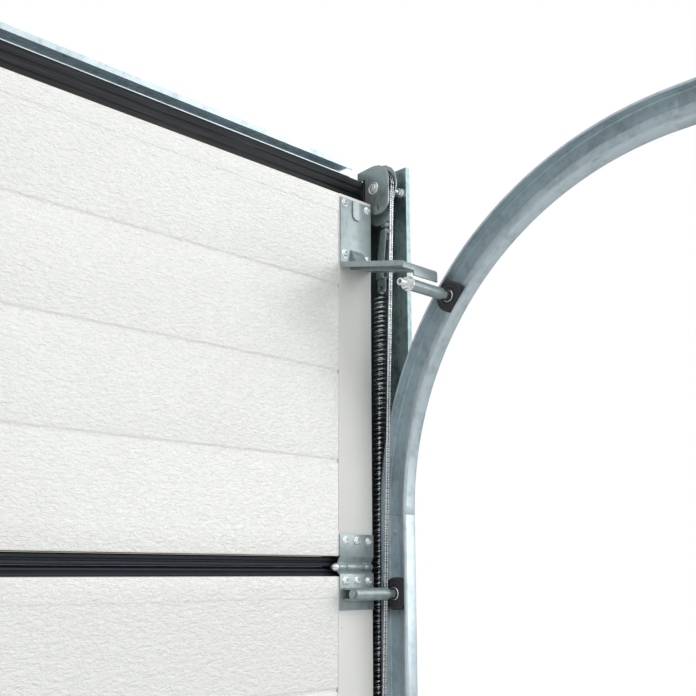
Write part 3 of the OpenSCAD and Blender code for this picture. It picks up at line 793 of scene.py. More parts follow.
@dataclass
class Leaf:
    """The four sections: skins, end caps, joint rails, foam and bottom seal."""

    groove_pitch: float = 121.25
    groove_shift: float = 7.0
    groove_w: float = 8.0
    groove_d: float = 1.6
    skin_t: float = 0.6
    hem_low: float = 31.0
    hem_high: float = 26.6
    hem_step: float = 0.55
    edge_return: float = 7.0
    cap_t: float = 1.5
    cap_stand: float = 0.4
    rivet_d: float = 4.2
    skins: dict[str, str] = field(default_factory=lambda: {
        "section_1_skins": "leaf", "section_2_skins": "leaf", "section_3_skins": "leaf",
        "top_section_skins": "top_section"})

    def grooves(self, height: float) -> list[float]:
        """Returns the heights of a section's grooves above its lower edge."""
        return [height / 2 + i * self.groove_pitch - self.groove_shift for i in (-1, 0, 1)]

    def inner_path(self, box: Extent) -> list[Corner]:
        """Returns the inner skin's section in Y and Z, from its lower to its upper edge."""
        y, z0, z1 = box.low.y, box.low.z, box.high.z
        deep = y + self.hem_step
        path = [(y + self.edge_return, z0 + 0.3, 0.0), (y, z0 + 0.3, 1.6),
                (y, z0 + self.hem_low, 0.4), (deep, z0 + self.hem_low + 1.4, 0.4)]
        half, deeper = self.groove_w / 2, deep + self.groove_d
        for g in self.grooves(z1 - z0):
            path += [(deep, z0 + g - half, 0.8), (deeper, z0 + g - half * 0.4, 0.8),
                     (deeper, z0 + g + half * 0.4, 0.8), (deep, z0 + g + half, 0.8)]
        path += [(deep, z1 - self.hem_high - 0.9, 0.3), (y, z1 - self.hem_high, 0.3),
                 (y, z1 - 0.3, 1.6), (y + self.edge_return, z1 - 0.3, 0.0)]
        return path

    def outer_path(self, box: Extent) -> list[Corner]:
        """Returns the outer skin's section in Y and Z, with shallow pressed lines."""
        y, z0, z1 = box.high.y, box.low.z, box.high.z
        path = [(y - self.edge_return, z0 + 0.3, 0.0), (y, z0 + 0.3, 1.6)]
        for g in self.grooves(z1 - z0):
            path += [(y, z0 + g - 5, 0.5), (y - 0.45, z0 + g - 2, 0.5), (y - 0.45, z0 + g + 2, 0.5),
                     (y, z0 + g + 5, 0.5)]
        return path + [(y, z1 - 0.3, 1.6), (y - self.edge_return, z1 - 0.3, 0.0)]

    def build_skins(self) -> None:
        """Builds both skins of each section."""
        for node, body in self.skins.items():
            box = Extent.of(node)
            x0, x1 = box.low.x, box.high.x
            shape = Shape()
            for path, inset in ((self.inner_path(box), 0.5), (self.outer_path(box), -0.5)):
                moved = [(a + inset * self.skin_t, b, r) for a, b, r in path]
                strip = Strip(moved, lambda a, b: (x0, a, b)).run((x1 - x0, 0, 0), 6)
                shape.take(strip.thick(self.skin_t))
            shape.piece(node.replace("_skins", "_skin_sheets"), WHITE, body, node)

    def cap(self, box: Extent, face_x: float, z0: float, z1: float) -> Shape:
        """Makes the right end cap of one section with its pressed buttons.

        Args:
            box: Extent of the end-cap node.
            face_x: X of the cap's edge on the skin.
            z0: Lower edge.
            z1: Upper edge.

        Returns:
            The cap.
        """
        y0, y1, x = box.low.y - self.cap_stand, box.high.y, box.high.x
        half = self.cap_t / 2
        path = [(face_x, y0 + half, 0.0), (x - half, y0 + half, 2.0), (x - half, y1 - half, 2.0),
                (face_x, y1 - half, 0.0)]
        shape = Strip(path, lambda a, b: (a, b, z0)).run((0, 0, z1 - z0), 2).thick(self.cap_t, 0.25)
        button = [(self.rivet_d / 2, 0.0), (self.rivet_d / 2 - 0.3, 0.5), (0.9, 0.75), (0.7, 0.3), (0.0, 0.3)]
        for dx, dz in ((6.7, 63.6), (31.0, 35.0)):
            for z in (z0 + dz, z1 - dz):
                shape.take(turned(Axis.Z, (0, 0, 0), button, 16).turn(90, "X").move(face_x + dx, y0, z))
        return shape

    def build_caps(self) -> None:
        """Builds the end caps of the three lower sections and of the top section."""
        for node, body in (("lower_end_caps", "leaf"), ("top_end_caps", "top_section")):
            box = Extent.of(node)
            shape = Shape()
            for skin, skin_body in self.skins.items():
                if skin_body == body:
                    face = Extent.of(skin)
                    shape.take(self.cap(box, face.high.x, face.low.z, face.high.z))
            shape.both().piece(node.replace("end_caps", "caps"), CAP, body, node)

    def ribbed(self, y: float, back: float, z0: float, z1: float, ribs: int) -> list[Corner]:
        """Returns a rail's outline in Y and Z with raised ribs on its inner face."""
        pitch = (z1 - z0) / ribs
        outline = [(back, z0 + 0.2, 0.5)]
        for i in range(ribs):
            base = z0 + i * pitch
            outline += [(y + 1.2, base + 0.2, 0.0), (y - 1.4, base + 0.9, 0.5),
                        (y - 1.4, base + pitch * 0.62, 0.5), (y + 1.2, base + pitch * 0.78, 0.0)]
        return outline + [(back, z1 - 0.2, 0.5)]

    def build_rails(self) -> None:
        """Builds the dark rails that meet at each joint, and the carrier of the bottom seal."""
        low, top = Extent.of("lower_joint_rails"), Extent.of("top_joint_rail")
        y, back, x0, x1 = low.low.y, low.high.y, low.low.x, low.high.x
        faces = [Extent.of(name) for name in self.skins]
        seal = Extent.of("bottom_seal")
        spans = [(seal.high.z, faces[0].low.z, 1)]
        for lower, upper in zip(faces[:2], faces[1:3]):
            middle = lower.high.z + (top.low.z - 1.0 - faces[2].high.z)
            spans += [(lower.high.z, middle, 2), (middle + 0.4, upper.low.z, 2)]
        spans.append((faces[2].high.z, low.high.z, 2))
        shape = Shape()
        for z0, z1, ribs in spans:
            shape.take(sheet_cut(self.ribbed(y, back, z0, z1, ribs), x0, x1 - x0, (), 0.2))
        shape.piece("lower_rail_profiles", RAIL, "leaf", "lower_joint_rails")
        lips = Shape()
        for z in (faces[0].high.z, faces[1].high.z, faces[2].high.z):
            level = z + low.high.z - faces[2].high.z
            lips.take(block((x0 + 2, y + 14, level - 3), (x1 - 2, y + 18, level + top.low.z - low.high.z), 0.3))
        lips.piece("joint_seal_lips", SEAL, "leaf")
        cut = sheet_cut(self.ribbed(y, back, top.low.z, top.high.z, 2), x0, x1 - x0, (), 0.2)
        cut.piece("top_rail_profile", RAIL, "top_section", "top_joint_rail")

    def build_seal(self) -> None:
        """Builds the bottom seal as a rubber bulb under its flat foot."""
        box = Extent.of("bottom_seal")
        y0, y1, z0, z1 = box.low.y, box.high.y, box.low.z, box.high.z
        outline = [(y0 + 3, z1, 0.6), (y0 + 3, z1 - 4, 1.0), (y0, z1 - 7, 2.0), (y0, z0, 6.0), (y1, z0, 6.0),
                   (y1, z1 - 7, 2.0), (y1 - 3, z1 - 4, 1.0), (y1 - 3, z1, 0.6)]
        middle = (y0 + y1) / 2
        hollow = [(middle - 12, z0 + 3, 3.0), (middle + 12, z0 + 3, 3.0), (middle + 12, z1 - 7, 3.0),
                  (middle - 12, z1 - 7, 3.0)]
        shape = sheet_cut(outline, box.low.x, box.high.x - box.low.x, (hollow,), 0.3)
        shape.piece("bottom_seal_bulb", SEAL, "leaf", "bottom_seal")

    def build(self) -> None:
        """Builds the whole leaf."""
        self.build_skins()
        self.build_caps()
        self.build_rails()
        self.build_seal()
        FOAM.dress("lower_cores", "top_section_core")


# --------------------------------------------------------------- the hinges


@dataclass
class Hinges:
    """Hinges between the sections, with pins and screws."""

    plate_t: float = 2.5
    upper_h: float = 42.0
    lower_h: float = 54.0
    upper_low: float = 13.0
    lower_low: float = 8.8
    knuckle_d: float = 10.0
    knuckle_gap: float = 0.5
    cuts: Sequence[float] = (0.0, 0.24, 0.75, 1.0)
    chamfer: float = 9.0
    screw_dx: Sequence[float] = (-21.0, 0.0, 21.0)
    screw_rise: float = 33.2
    screw_fall: float = 18.0

    def __post_init__(self) -> None:
        """Reads the hinge line and the hinges' places from the frame."""
        pins, third = Extent.of("hinge_pins"), Extent.of("hinges_3_upper_leaves")
        self.pin_y = pins.middle.y
        self.inner_y = Extent.of("top_section_skins").low.y
        self.rows = [Extent.of(n).low.z + self.lower_h
                     for n in ("hinges_1", "hinges_2", "hinges_3_lower_leaves")]
        self.width = 62.0
        edge = third.high.x - self.width / 2
        self.places = (-edge, 0.0, edge)

    def leaf(self, upper: bool) -> Shape:
        """Makes one leaf of a hinge about its pin's middle.

        Args:
            upper: True for the leaf above the joint.

        Returns:
            The leaf: plate, bent web and rolled knuckles.
        """
        way = 1.0 if upper else -1.0
        far = self.upper_h if upper else self.lower_h
        near = self.upper_low if upper else self.lower_low
        y = self.inner_y - self.pin_y - self.plate_t / 2
        w = self.width
        shelf = self.knuckle_d / 2 + 0.6
        plate = block((-w / 2, y - self.plate_t / 2, near), (w / 2, y + self.plate_t / 2, far), 0.45)
        web = Strip([(y, near + 3, 0.0), (y, near + 0.2, 1.6), (-0.3, shelf, 1.2), (-0.3, shelf - 2.0, 0.0)],
                    lambda a, b: (-w / 2, a, b)).run((w, 0, 0)).thick(self.plate_t * 0.8, 0.3)
        shape = plate.take(web)
        for i in range(3):
            if (i % 2 == 0) == upper:
                x0 = (self.cuts[i] - 0.5) * w + self.knuckle_gap / 2
                length = (self.cuts[i + 1] - self.cuts[i]) * w - self.knuckle_gap
                shape.take(rod(Axis.X, (x0, 0, 0), length, self.knuckle_d, 0.7, 28))
                shape.take(block((x0, -1.6, 0), (x0 + length, 1.6, shelf), 0.3))
        if not upper:
            bmesh.ops.scale(shape.bm, vec=(1, 1, -1), verts=shape.bm.verts[:])
            bmesh.ops.reverse_faces(shape.bm, faces=shape.bm.faces[:])
        return shape

    def pin(self) -> Shape:
        """Makes a hinge pin with its coned head at the left end."""
        half = self.width / 2
        profile = [(0.0, -half - 9.0), (2.2, -half - 9.0), (5.0, -half - 4.2), (5.0, -half - 1.4),
                   (4.6, -half - 1.0), (2.9, -half - 1.0), (2.9, half + 0.6), (2.5, half + 1.0),
                   (0.0, half + 1.0)]
        return turned(Axis.X, (0, 0, 0), profile, 24)

    def row(self, maker: Callable[[], Shape], z: float) -> Shape:
        """Sets a copy of a part at each hinge of a row."""
        shape = Shape()
        for x in self.places:
            shape.take(maker().move(x, self.pin_y, z))
        return shape

    def screws(self, rises: Sequence[tuple[float, float]]) -> Shape:
        """Makes screws for rows and rises given as (row height, rise)."""
        shape = Shape()
        for z, rise in rises:
            for x in self.places:
                for dx in self.screw_dx:
                    shape.take(FASTEN.button_head(x + dx, self.inner_y - self.plate_t, z + rise))
        return shape

    def build(self) -> None:
        """Builds every hinge row."""
        for number, z in enumerate(self.rows[:2], 1):
            shape = self.row(lambda: self.leaf(True), z).take(self.row(lambda: self.leaf(False), z))
            shape.piece(f"hinge_row_{number}", PLATE, "leaf", f"hinges_{number}")
        z = self.rows[2]
        self.row(lambda: self.leaf(False), z).piece("hinge_row_3_lower", PLATE, "leaf", "hinges_3_lower_leaves")
        self.row(lambda: self.leaf(True), z).piece("hinge_row_3_upper", PLATE, "top_section",
                                                   "hinges_3_upper_leaves")
        pins = Shape().take(*[self.row(self.pin, z) for z in self.rows])
        pins.piece("hinge_pin_set", FASTENER, "leaf", "hinge_pins")
        lower = [(z, -self.screw_fall) for z in self.rows] + [(z, self.screw_rise) for z in self.rows[:2]]
        self.screws(lower).piece("hinge_screws_lower", FASTENER, "leaf", "lower_screws")
        self.upper_screws = self.screws([(self.rows[2], self.screw_rise)])


# ------------------------------------------------------- top roller support


@dataclass
class TopSupport:
    """The fixing plate, its sloping arm, the sleeve, the stem and the flange nut."""

    plate_t: float = 2.5
    arm_q: float = 134.0
    arm_drop: float = 33.1
    front_lip: float = 7.0
    wing_low: float = 10.5
    sleeve_d: float = 16.0
    bore_d: float = 10.0
    sleeve_len: float = 63.2
    arm_inset: float = 9.5

    def __post_init__(self) -> None:
        """Reads the support's leading places from the frame."""
        box, stem = Extent.of("top_support_right"), Extent.of("top_stems")
        skin = Extent.of("top_section_skins")
        self.box = box
        self.inner_y = skin.low.y
        self.plate_left, self.plate_right = skin.high.x + 0.5, Extent.of("top_end_caps").high.x - 3.0
        self.axis_y, self.axis_z = stem.middle.y, stem.middle.z
        self.plate_top = box.high.z
        self.plate_low = self.plate_top - 99.4
        self.arm_y = self.inner_y - self.arm_q
        self.arm_z = self.plate_low - self.arm_drop
        self.sleeve_x = Extent.of("stem_nuts").high.x
        self.arm_right = self.plate_right - self.arm_inset

    def bracket(self) -> Shape:
        """Makes plate and arm from one bent sheet, with its bead, gusset, flanges and wing."""
        t = self.plate_t
        left, right = self.plate_left, self.plate_right
        y = self.inner_y - t / 2
        path = [(y, self.plate_top, 0.0), (y, self.plate_low + t / 2, 4.0),
                (self.arm_y + t / 2, self.arm_z + t / 2, 3.0),
                (self.arm_y + t / 2, self.arm_z - self.front_lip, 0.0)]
        sheet = Strip(path, lambda a, b: (left, a, b)).run((right - left, 0, 0), 2)
        spread_from = self.inner_y - t * 2
        reach = self.arm_y - spread_from
        for vert in sheet.shape.bm.verts:
            share = max(0.0, min(1.0, (vert.co.y - spread_from) / reach))
            if vert.co.x < left + 1:
                vert.co.x += (self.box.low.x - left) * share
            elif vert.co.x > right - 1:
                vert.co.x -= self.arm_inset * share
        shape = sheet.thick(t, 0.6)
        wing = sheet_cut([(self.arm_y, self.arm_z, 2.0), (self.arm_y, self.axis_z + self.wing_low, 1.0),
                          (self.arm_y + t, self.axis_z + self.wing_low, 1.0), (self.arm_y + t, self.arm_z, 1.0)],
                         self.sleeve_x + 1, self.arm_right - self.sleeve_x - 1, (), 0.5)
        shape.take(wing)
        shape.take(self.bead(left + 21, left + 41, self.plate_top - 29, self.plate_top - 1, 2.2))
        for x in (left + 1.2, left + 20):
            shape.take(self.side_flange(x))
        shape.take(self.gusset())
        return shape

    def bead(self, x0: float, x1: float, z0: float, z1: float, height: float) -> Shape:
        """Makes a pressed bead on the fixing plate with a rounded lower end."""
        face = self.inner_y - self.plate_t
        middle, half = (x0 + x1) / 2, (x1 - x0) / 2 * 0.85
        outline = [(-half, z1, 1.0), (-half, z0, half * 0.9), (half, z0, half * 0.9), (half, z1, 1.0)]
        shape = sheet_cut(outline, 0.0, height, (), height * 0.45)
        return shape.turn(-90, "Z").move(middle, face + 0.2, 0.0)

    def gusset(self) -> Shape:
        """Makes the pressed dart that stiffens the bend between plate and arm."""
        face = self.inner_y - self.plate_t
        z = self.plate_low + 24
        outline = [(face + 1, z, 0.0), (face - 1.2, z - 0.8, 0.8), (face - 15.0, self.plate_low - 2, 3.0),
                   (face + 1, self.plate_low + 2, 0.0)]
        return sheet_cut(outline, self.plate_left + 19, 24.0, (), 1.2)

    def side_flange(self, x: float) -> Shape:
        """Makes one down-turned flange under the arm, from the plate to the front edge."""
        y0, y1 = self.inner_y - self.plate_t, self.arm_y + 1
        z0, z1 = self.plate_low, self.arm_z
        drift = (self.box.low.x - self.plate_left) if x < self.plate_left + 5 else 0.0
        shape = sheet_cut([(y0, z0 + 1, 0.5), (y1, z1 + 1, 0.5), (y1, z1 - 5, 2.5), (y0, z0 - 5.5, 1.0)],
                          x - 1.2, 2.0, (), 0.5)
        for vert in shape.bm.verts:
            vert.co.x += drift * (vert.co.y - y0) / (y1 - y0)
        return shape

    def sleeve(self) -> Shape:
        """Makes the sleeve that the stem slides in."""
        r, b, length = self.sleeve_d / 2, self.bore_d / 2 + 0.1, self.sleeve_len
        profile = [(b, 0.4), (b + 0.4, 0.0), (r - 0.9, 0.0), (r, 0.9), (r, length - 1.6), (r - 1.6, length),
                   (b + 0.4, length), (b, length - 0.4), (b, 0.4)]
        return turned(Axis.X, (self.sleeve_x, self.axis_y, self.axis_z), profile, 48)

    def stem(self) -> Shape:
        """Makes the roller's stem with its hollow inner end."""
        box = Extent.of("top_stems")
        length, r = box.high.x - self.sleeve_x + 18, self.bore_d / 2
        profile = [(0.0, 14.0), (2.6, 13.0), (2.9, 0.6), (3.3, 0.0), (r - 0.5, 0.0), (r, 0.5), (r, length - 0.6),
                   (r - 0.6, length), (0.0, length)]
        return turned(Axis.X, (self.sleeve_x - 18, self.axis_y, self.axis_z), profile, 36)

    def build(self, hinge_screws: Shape) -> None:
        """Builds both supports.

        Args:
            hinge_screws: Hinge screws of the top section, which share a node with the plate's screws.
        """
        bracket = self.bracket().take(self.sleeve())
        for side in Side:
            node = f"top_support_{side.value}"
            bracket.copy().on(side).piece(f"top_bracket_{side.value}", PLATE, "top_section", node)
        bracket.bm.free()
        self.stem().both().piece("top_stem_pair", FASTENER, "top_section", "top_stems")
        nut = FASTEN.flange_nut(self.sleeve_x, self.axis_y, self.axis_z, 15.0, 20.0, 8.0)
        nut.both().piece("stem_flange_nuts", FASTENER, "top_section", "stem_nuts")
        screws = Shape()
        for x in (self.plate_left + 7.8, self.plate_right - 7.8):
            for z in (self.plate_low + 15.4, self.plate_top - 7.5):
                screws.take(FASTEN.button_head(x, self.inner_y - self.plate_t, z))
        screws.both().take(hinge_screws).piece("top_screw_set", FASTENER, "top_section", "top_screws")


# ---------------------------------------------------------------- rollers


@dataclass
class Rollers:
    """Nylon track rollers with a hub, a bearing race and a grooved tyre."""

    tyre_d: float = 42.0
    tyre_w: float = 14.0
    hub_len: float = 7.5
    row_hub_len: float = 2.4
    bore: float = 10.1
    race_d: float = 16.4

    def tyre(self, h: float) -> Shape:
        """Makes the nylon body about its axis, from the end of a hub of length h at 0."""
        r, w, b = self.tyre_d / 2, self.tyre_w, self.bore / 2
        crown = [(r - 1.6 + 1.6 * math.sin(a), h + 1.6 - 1.6 * math.cos(a))
                 for a in (math.radians(d) for d in range(0, 91, 18))]
        back = [(rad, 2 * h + w - along) for rad, along in reversed(crown)]
        profile = [(b, 0.4), (b + 0.4, 0.0), (7.0, 0.0), (7.5, 0.6), (7.5, h - 1.0), (9.2, h - 0.2), (9.6, h + 0.9),
                   (12.0, h + 0.9), (12.6, h), (15.4, h), (15.9, h + 0.8), (16.9, h + 0.8), (17.4, h), *crown,
                   *back, (12.6, h + w), (12.0, h + w - 1.2), (9.4, h + w - 1.2), (8.8, h + w), (b + 0.4, h + w),
                   (b, h + w - 0.4), (b, 0.4)]
        return turned(Axis.X, (0, 0, 0), profile, 64)

    def race(self, h: float) -> Shape:
        """Makes the bright bearing race that shows round a hub of length h."""
        r = self.race_d / 2
        profile = [(r, h + 0.6), (r + 0.1, h - 1.2), (r - 0.3, h - 1.7), (r - 1.1, h - 1.7), (r - 1.3, h - 1.2),
                   (r - 1.3, h + 0.6), (r, h + 0.6)]
        return turned(Axis.X, (0, 0, 0), profile, 48)

    def build(self) -> None:
        """Builds every roller on its own body."""
        for name in ("top_roller_right", "top_roller_left", "rollers_3", "rollers_2", "rollers_1",
                     "rollers_bottom"):
            box = Extent.of(name)
            hub = self.hub_len if name.startswith("top") else self.row_hub_len
            start = max(abs(box.low.x), abs(box.high.x)) - self.tyre_w - hub
            for kind, maker, finish in (("tyre", self.tyre, NYLON), ("race", self.race, RACE)):
                shape = maker(hub).move(start, box.middle.y, box.middle.z)
                if name.startswith("top"):
                    shape = shape.on(Side.LEFT if name.endswith("left") else Side.RIGHT)
                else:
                    shape.both()
                stands_for = (name,) if kind == "tyre" else ()
                shape.piece(f"{name}_{kind}", finish, name, *stands_for)


# ------------------------------------------------------------------ tracks


@dataclass
class Tracks:
    """Roller tracks: rolled channels with turned lips and a shallow bead along the back."""

    width: float = 48.0
    sheet_t: float = 1.5
    lip: float = 4.6
    bend: float = 2.2
    bead_w: float = 9.0
    bead_h: float = 0.9

    def __post_init__(self) -> None:
        """Reads the run of the tracks from the frame."""
        vertical, curve = Extent.of("track_vertical_right"), Extent.of("track_curve_right")
        self.mouth, self.back = vertical.low.x, vertical.high.x
        self.top = vertical.high.z
        self.centre_y = curve.low.y
        self.radius = curve.high.z - self.top - self.width / 2
        self.ceiling = Extent.of("track_ceiling_right")

    def path(self) -> list[Corner]:
        """Returns the channel's section as radial place, X and bend radius."""
        h, t = self.width / 2, self.sheet_t / 2
        web = self.back - t
        half = self.bead_w / 2
        side = [(h - self.lip, self.mouth + t, 0.0), (h - t, self.mouth + t, self.bend),
                (h - t, web, self.bend), (half + 1.5, web, 0.6), (half, web - self.bead_h, 0.6)]
        return side + [(-u, x, r) for u, x, r in reversed(side)]

    def section(self, plane: Callable[[float, float], Iterable[float]]) -> Strip:
        """Lays the channel's section out in a plane."""
        return Strip(self.path(), plane)

    def vertical(self) -> Shape:
        """Makes the vertical track with its rivet domes."""
        y = self.centre_y + self.radius
        run = self.section(lambda u, x: (x, y + u, 0.0)).run((0, 0, self.top), 4).thick(self.sheet_t, 0.25)
        dome = [(4.0, 0.0), (3.6, 0.7), (2.2, 1.2), (0.0, 1.3)]
        for z in (self.top - 22, self.top - 600, self.top - 1200):
            run.take(turned(Axis.Z, (0, 0, 0), dome, 16).turn(-90, "Y")
                     .move(self.back - self.sheet_t - 0.05, y + 14, z))
        return run

    def curve(self) -> Shape:
        """Makes the quarter bend."""
        start = self.section(lambda u, x: (x, self.centre_y + self.radius + u, self.top))
        return start.swing((0, self.centre_y, self.top), 90, 48).thick(self.sheet_t, 0.25)

    def along_ceiling(self) -> Shape:
        """Makes the straight ceiling track."""
        z, length = self.top + self.radius, self.ceiling.high.y - self.ceiling.low.y
        run = self.section(lambda u, x: (x, self.ceiling.high.y, z + u)).run((0, -length, 0), 4)
        return run.thick(self.sheet_t, 0.25)

    def build(self) -> None:
        """Builds the three stretches on both sides."""
        for name, maker in (("vertical", self.vertical), ("curve", self.curve), ("ceiling", self.along_ceiling)):
            shape = maker()
            for side in Side:
                shape.copy().on(side).piece(f"channel_{name}_{side.value}", TRACK, "frame",
                                            f"track_{name}_{side.value}")
            shape.bm.free()


# ------------------------------------------------------- pulleys and springs


@dataclass
class PulleyHead:
    """Top pulley in its two-plate bracket, with axle and bolts, and the small floor and block pulleys."""

    plate_t: float = 2.5
    rope_r: float = 30.0
    rope_d: float = 2.8
    rope_gap: float = 4.0
    pulley_w: float = 7.5

    def __post_init__(self) -> None:
        """Reads the axle and the plates from the frame."""
        pulley, bracket = Extent.of("top_pulleys"), Extent.of("pulley_bracket_right")
        self.y, self.z = pulley.middle.y, pulley.middle.z
        self.rope_x = pulley.high.x - self.pulley_w / 2
        self.near_x, self.far_x = bracket.low.x, bracket.high.x - self.plate_t
        self.web_x = Extent.of("pulley_axles").high.x

    def at(self, *corners: Corner) -> list[Corner]:
        """Places corners given about the axle."""
        return [(self.y + a, self.z + b, r) for a, b, r in corners]

    def plates(self) -> Shape:
        """Makes the bracket's two plates and the folded foot between them."""
        near = self.at((-29.2, 35.4, 28), (6, 35.4, 8), (33.6, 33.4, 1), (33.6, 19.5, 1), (17.6, 19.5, 2),
                       (17.6, -24, 8), (0, -42, 8), (-29.2, -42, 18))
        slot = self.at((-9.6, -28.6, 1.5), (-6.5, -28.6, 1.5), (-6.5, -36.5, 1.5), (-9.6, -36.5, 1.5))
        far = self.at((-33, 39, 32), (33, 39, 32), (33, -2, 18), (14, -54, 13), (-14, -54, 13), (-33, -2, 18))
        return sheet_cut(near, self.near_x, self.plate_t, (slot,), 0.5).take(
            sheet_cut(far, self.far_x, self.plate_t, (), 0.5))

    def wheel(self, radius: float, width: float, bore: float, face: float) -> Shape:
        """Makes a two-groove rope pulley about the X axis.

        Args:
            radius: Radius of the rope's middle line.
            width: Width over its rims.
            bore: Diameter of its bore.
            face: Radius at which the dished side starts.

        Returns:
            The pulley at the origin.
        """
        half, groove = width / 2, self.rope_d / 2 + 0.2
        rim = radius + 2.0
        dish = min(1.2, half * 0.4)
        profile = [(bore / 2, -half), (face, -half), (face + 1, -half + dish), (radius - 5, -half + dish),
                   (radius - 4, -half), (rim - 0.3, -half), (rim, -half + 0.2)]
        for centre in (-self.rope_gap / 2, self.rope_gap / 2):
            profile.append((rim, centre - groove))
            profile += [(radius + 0.2 - groove * math.sin(a), centre - groove * math.cos(a))
                        for a in (math.radians(d) for d in range(0, 181, 30))]
            profile.append((rim, centre + groove))
        profile += [(rim, half - 0.2), (rim - 0.3, half), (radius - 4, half), (radius - 5, half - dish),
                    (face + 1, half - dish), (face, half), (bore / 2, half), (bore / 2, -half)]
        return turned(Axis.X, (0, 0, 0), profile, 64)

    def axle(self) -> Shape:
        """Makes the axle with its stepped head on the near plate."""
        reach = self.web_x - self.near_x
        profile = [(0.0, -4.4), (2.2, -4.4), (2.6, -3.8), (5.2, -3.8), (5.8, -3.2), (5.8, -0.8), (6.6, -0.7),
                   (7.6, -1.6), (8.8, -1.9), (9.5, -1.2), (9.7, 0.0), (3.95, 0.0), (3.95, reach), (0.0, reach)]
        return turned(Axis.X, (self.near_x, self.y, self.z), profile, 36)

    def bolts(self) -> Shape:
        """Makes the bracket's two bolts with their nuts towards the leaf."""
        box = Extent.of("bracket_bolts")
        shape = Shape()
        start = self.far_x + self.plate_t
        for y, z in ((box.low.y + 3.0, box.high.z - 3.0), (box.high.y - 5.0, box.low.z + 5.0)):
            shape.take(rod(Axis.X, (start, y, z), self.web_x - start, 6.0, 0.3, 20))
            shape.take(FASTEN.flange_nut(self.web_x, y, z, 10.0, 14.0, 8.0))
        return shape

    def build(self) -> None:
        """Builds the head on both sides."""
        plates = self.plates()
        for side in Side:
            plates.copy().on(side).piece(f"pulley_cheeks_{side.value}", PLATE, "frame",
                                         f"pulley_bracket_{side.value}")
        plates.bm.free()
        wheel = self.wheel(self.rope_r, self.pulley_w, 8.0, 11.0).move(self.rope_x, self.y, self.z)
        wheel.both().piece("top_pulley_wheels", PULLEY, "top_pulleys", "top_pulleys")
        self.axle().both().piece("pulley_axle_bolts", FASTENER, "frame", "pulley_axles")
        self.bolts().both().piece("bracket_bolt_set", FASTENER, "frame", "bracket_bolts")
        for node, width in (("floor_pulleys", 8.0), ("block_pulleys", 8.0)):
            box = Extent.of(node)
            small = self.wheel(12.0, width, 6.1, 5.0).move(box.high.x - width / 2, box.middle.y, box.middle.z)
            small.both().piece(node.replace("pulleys", "pulley_wheels"), PULLEY, node, node)


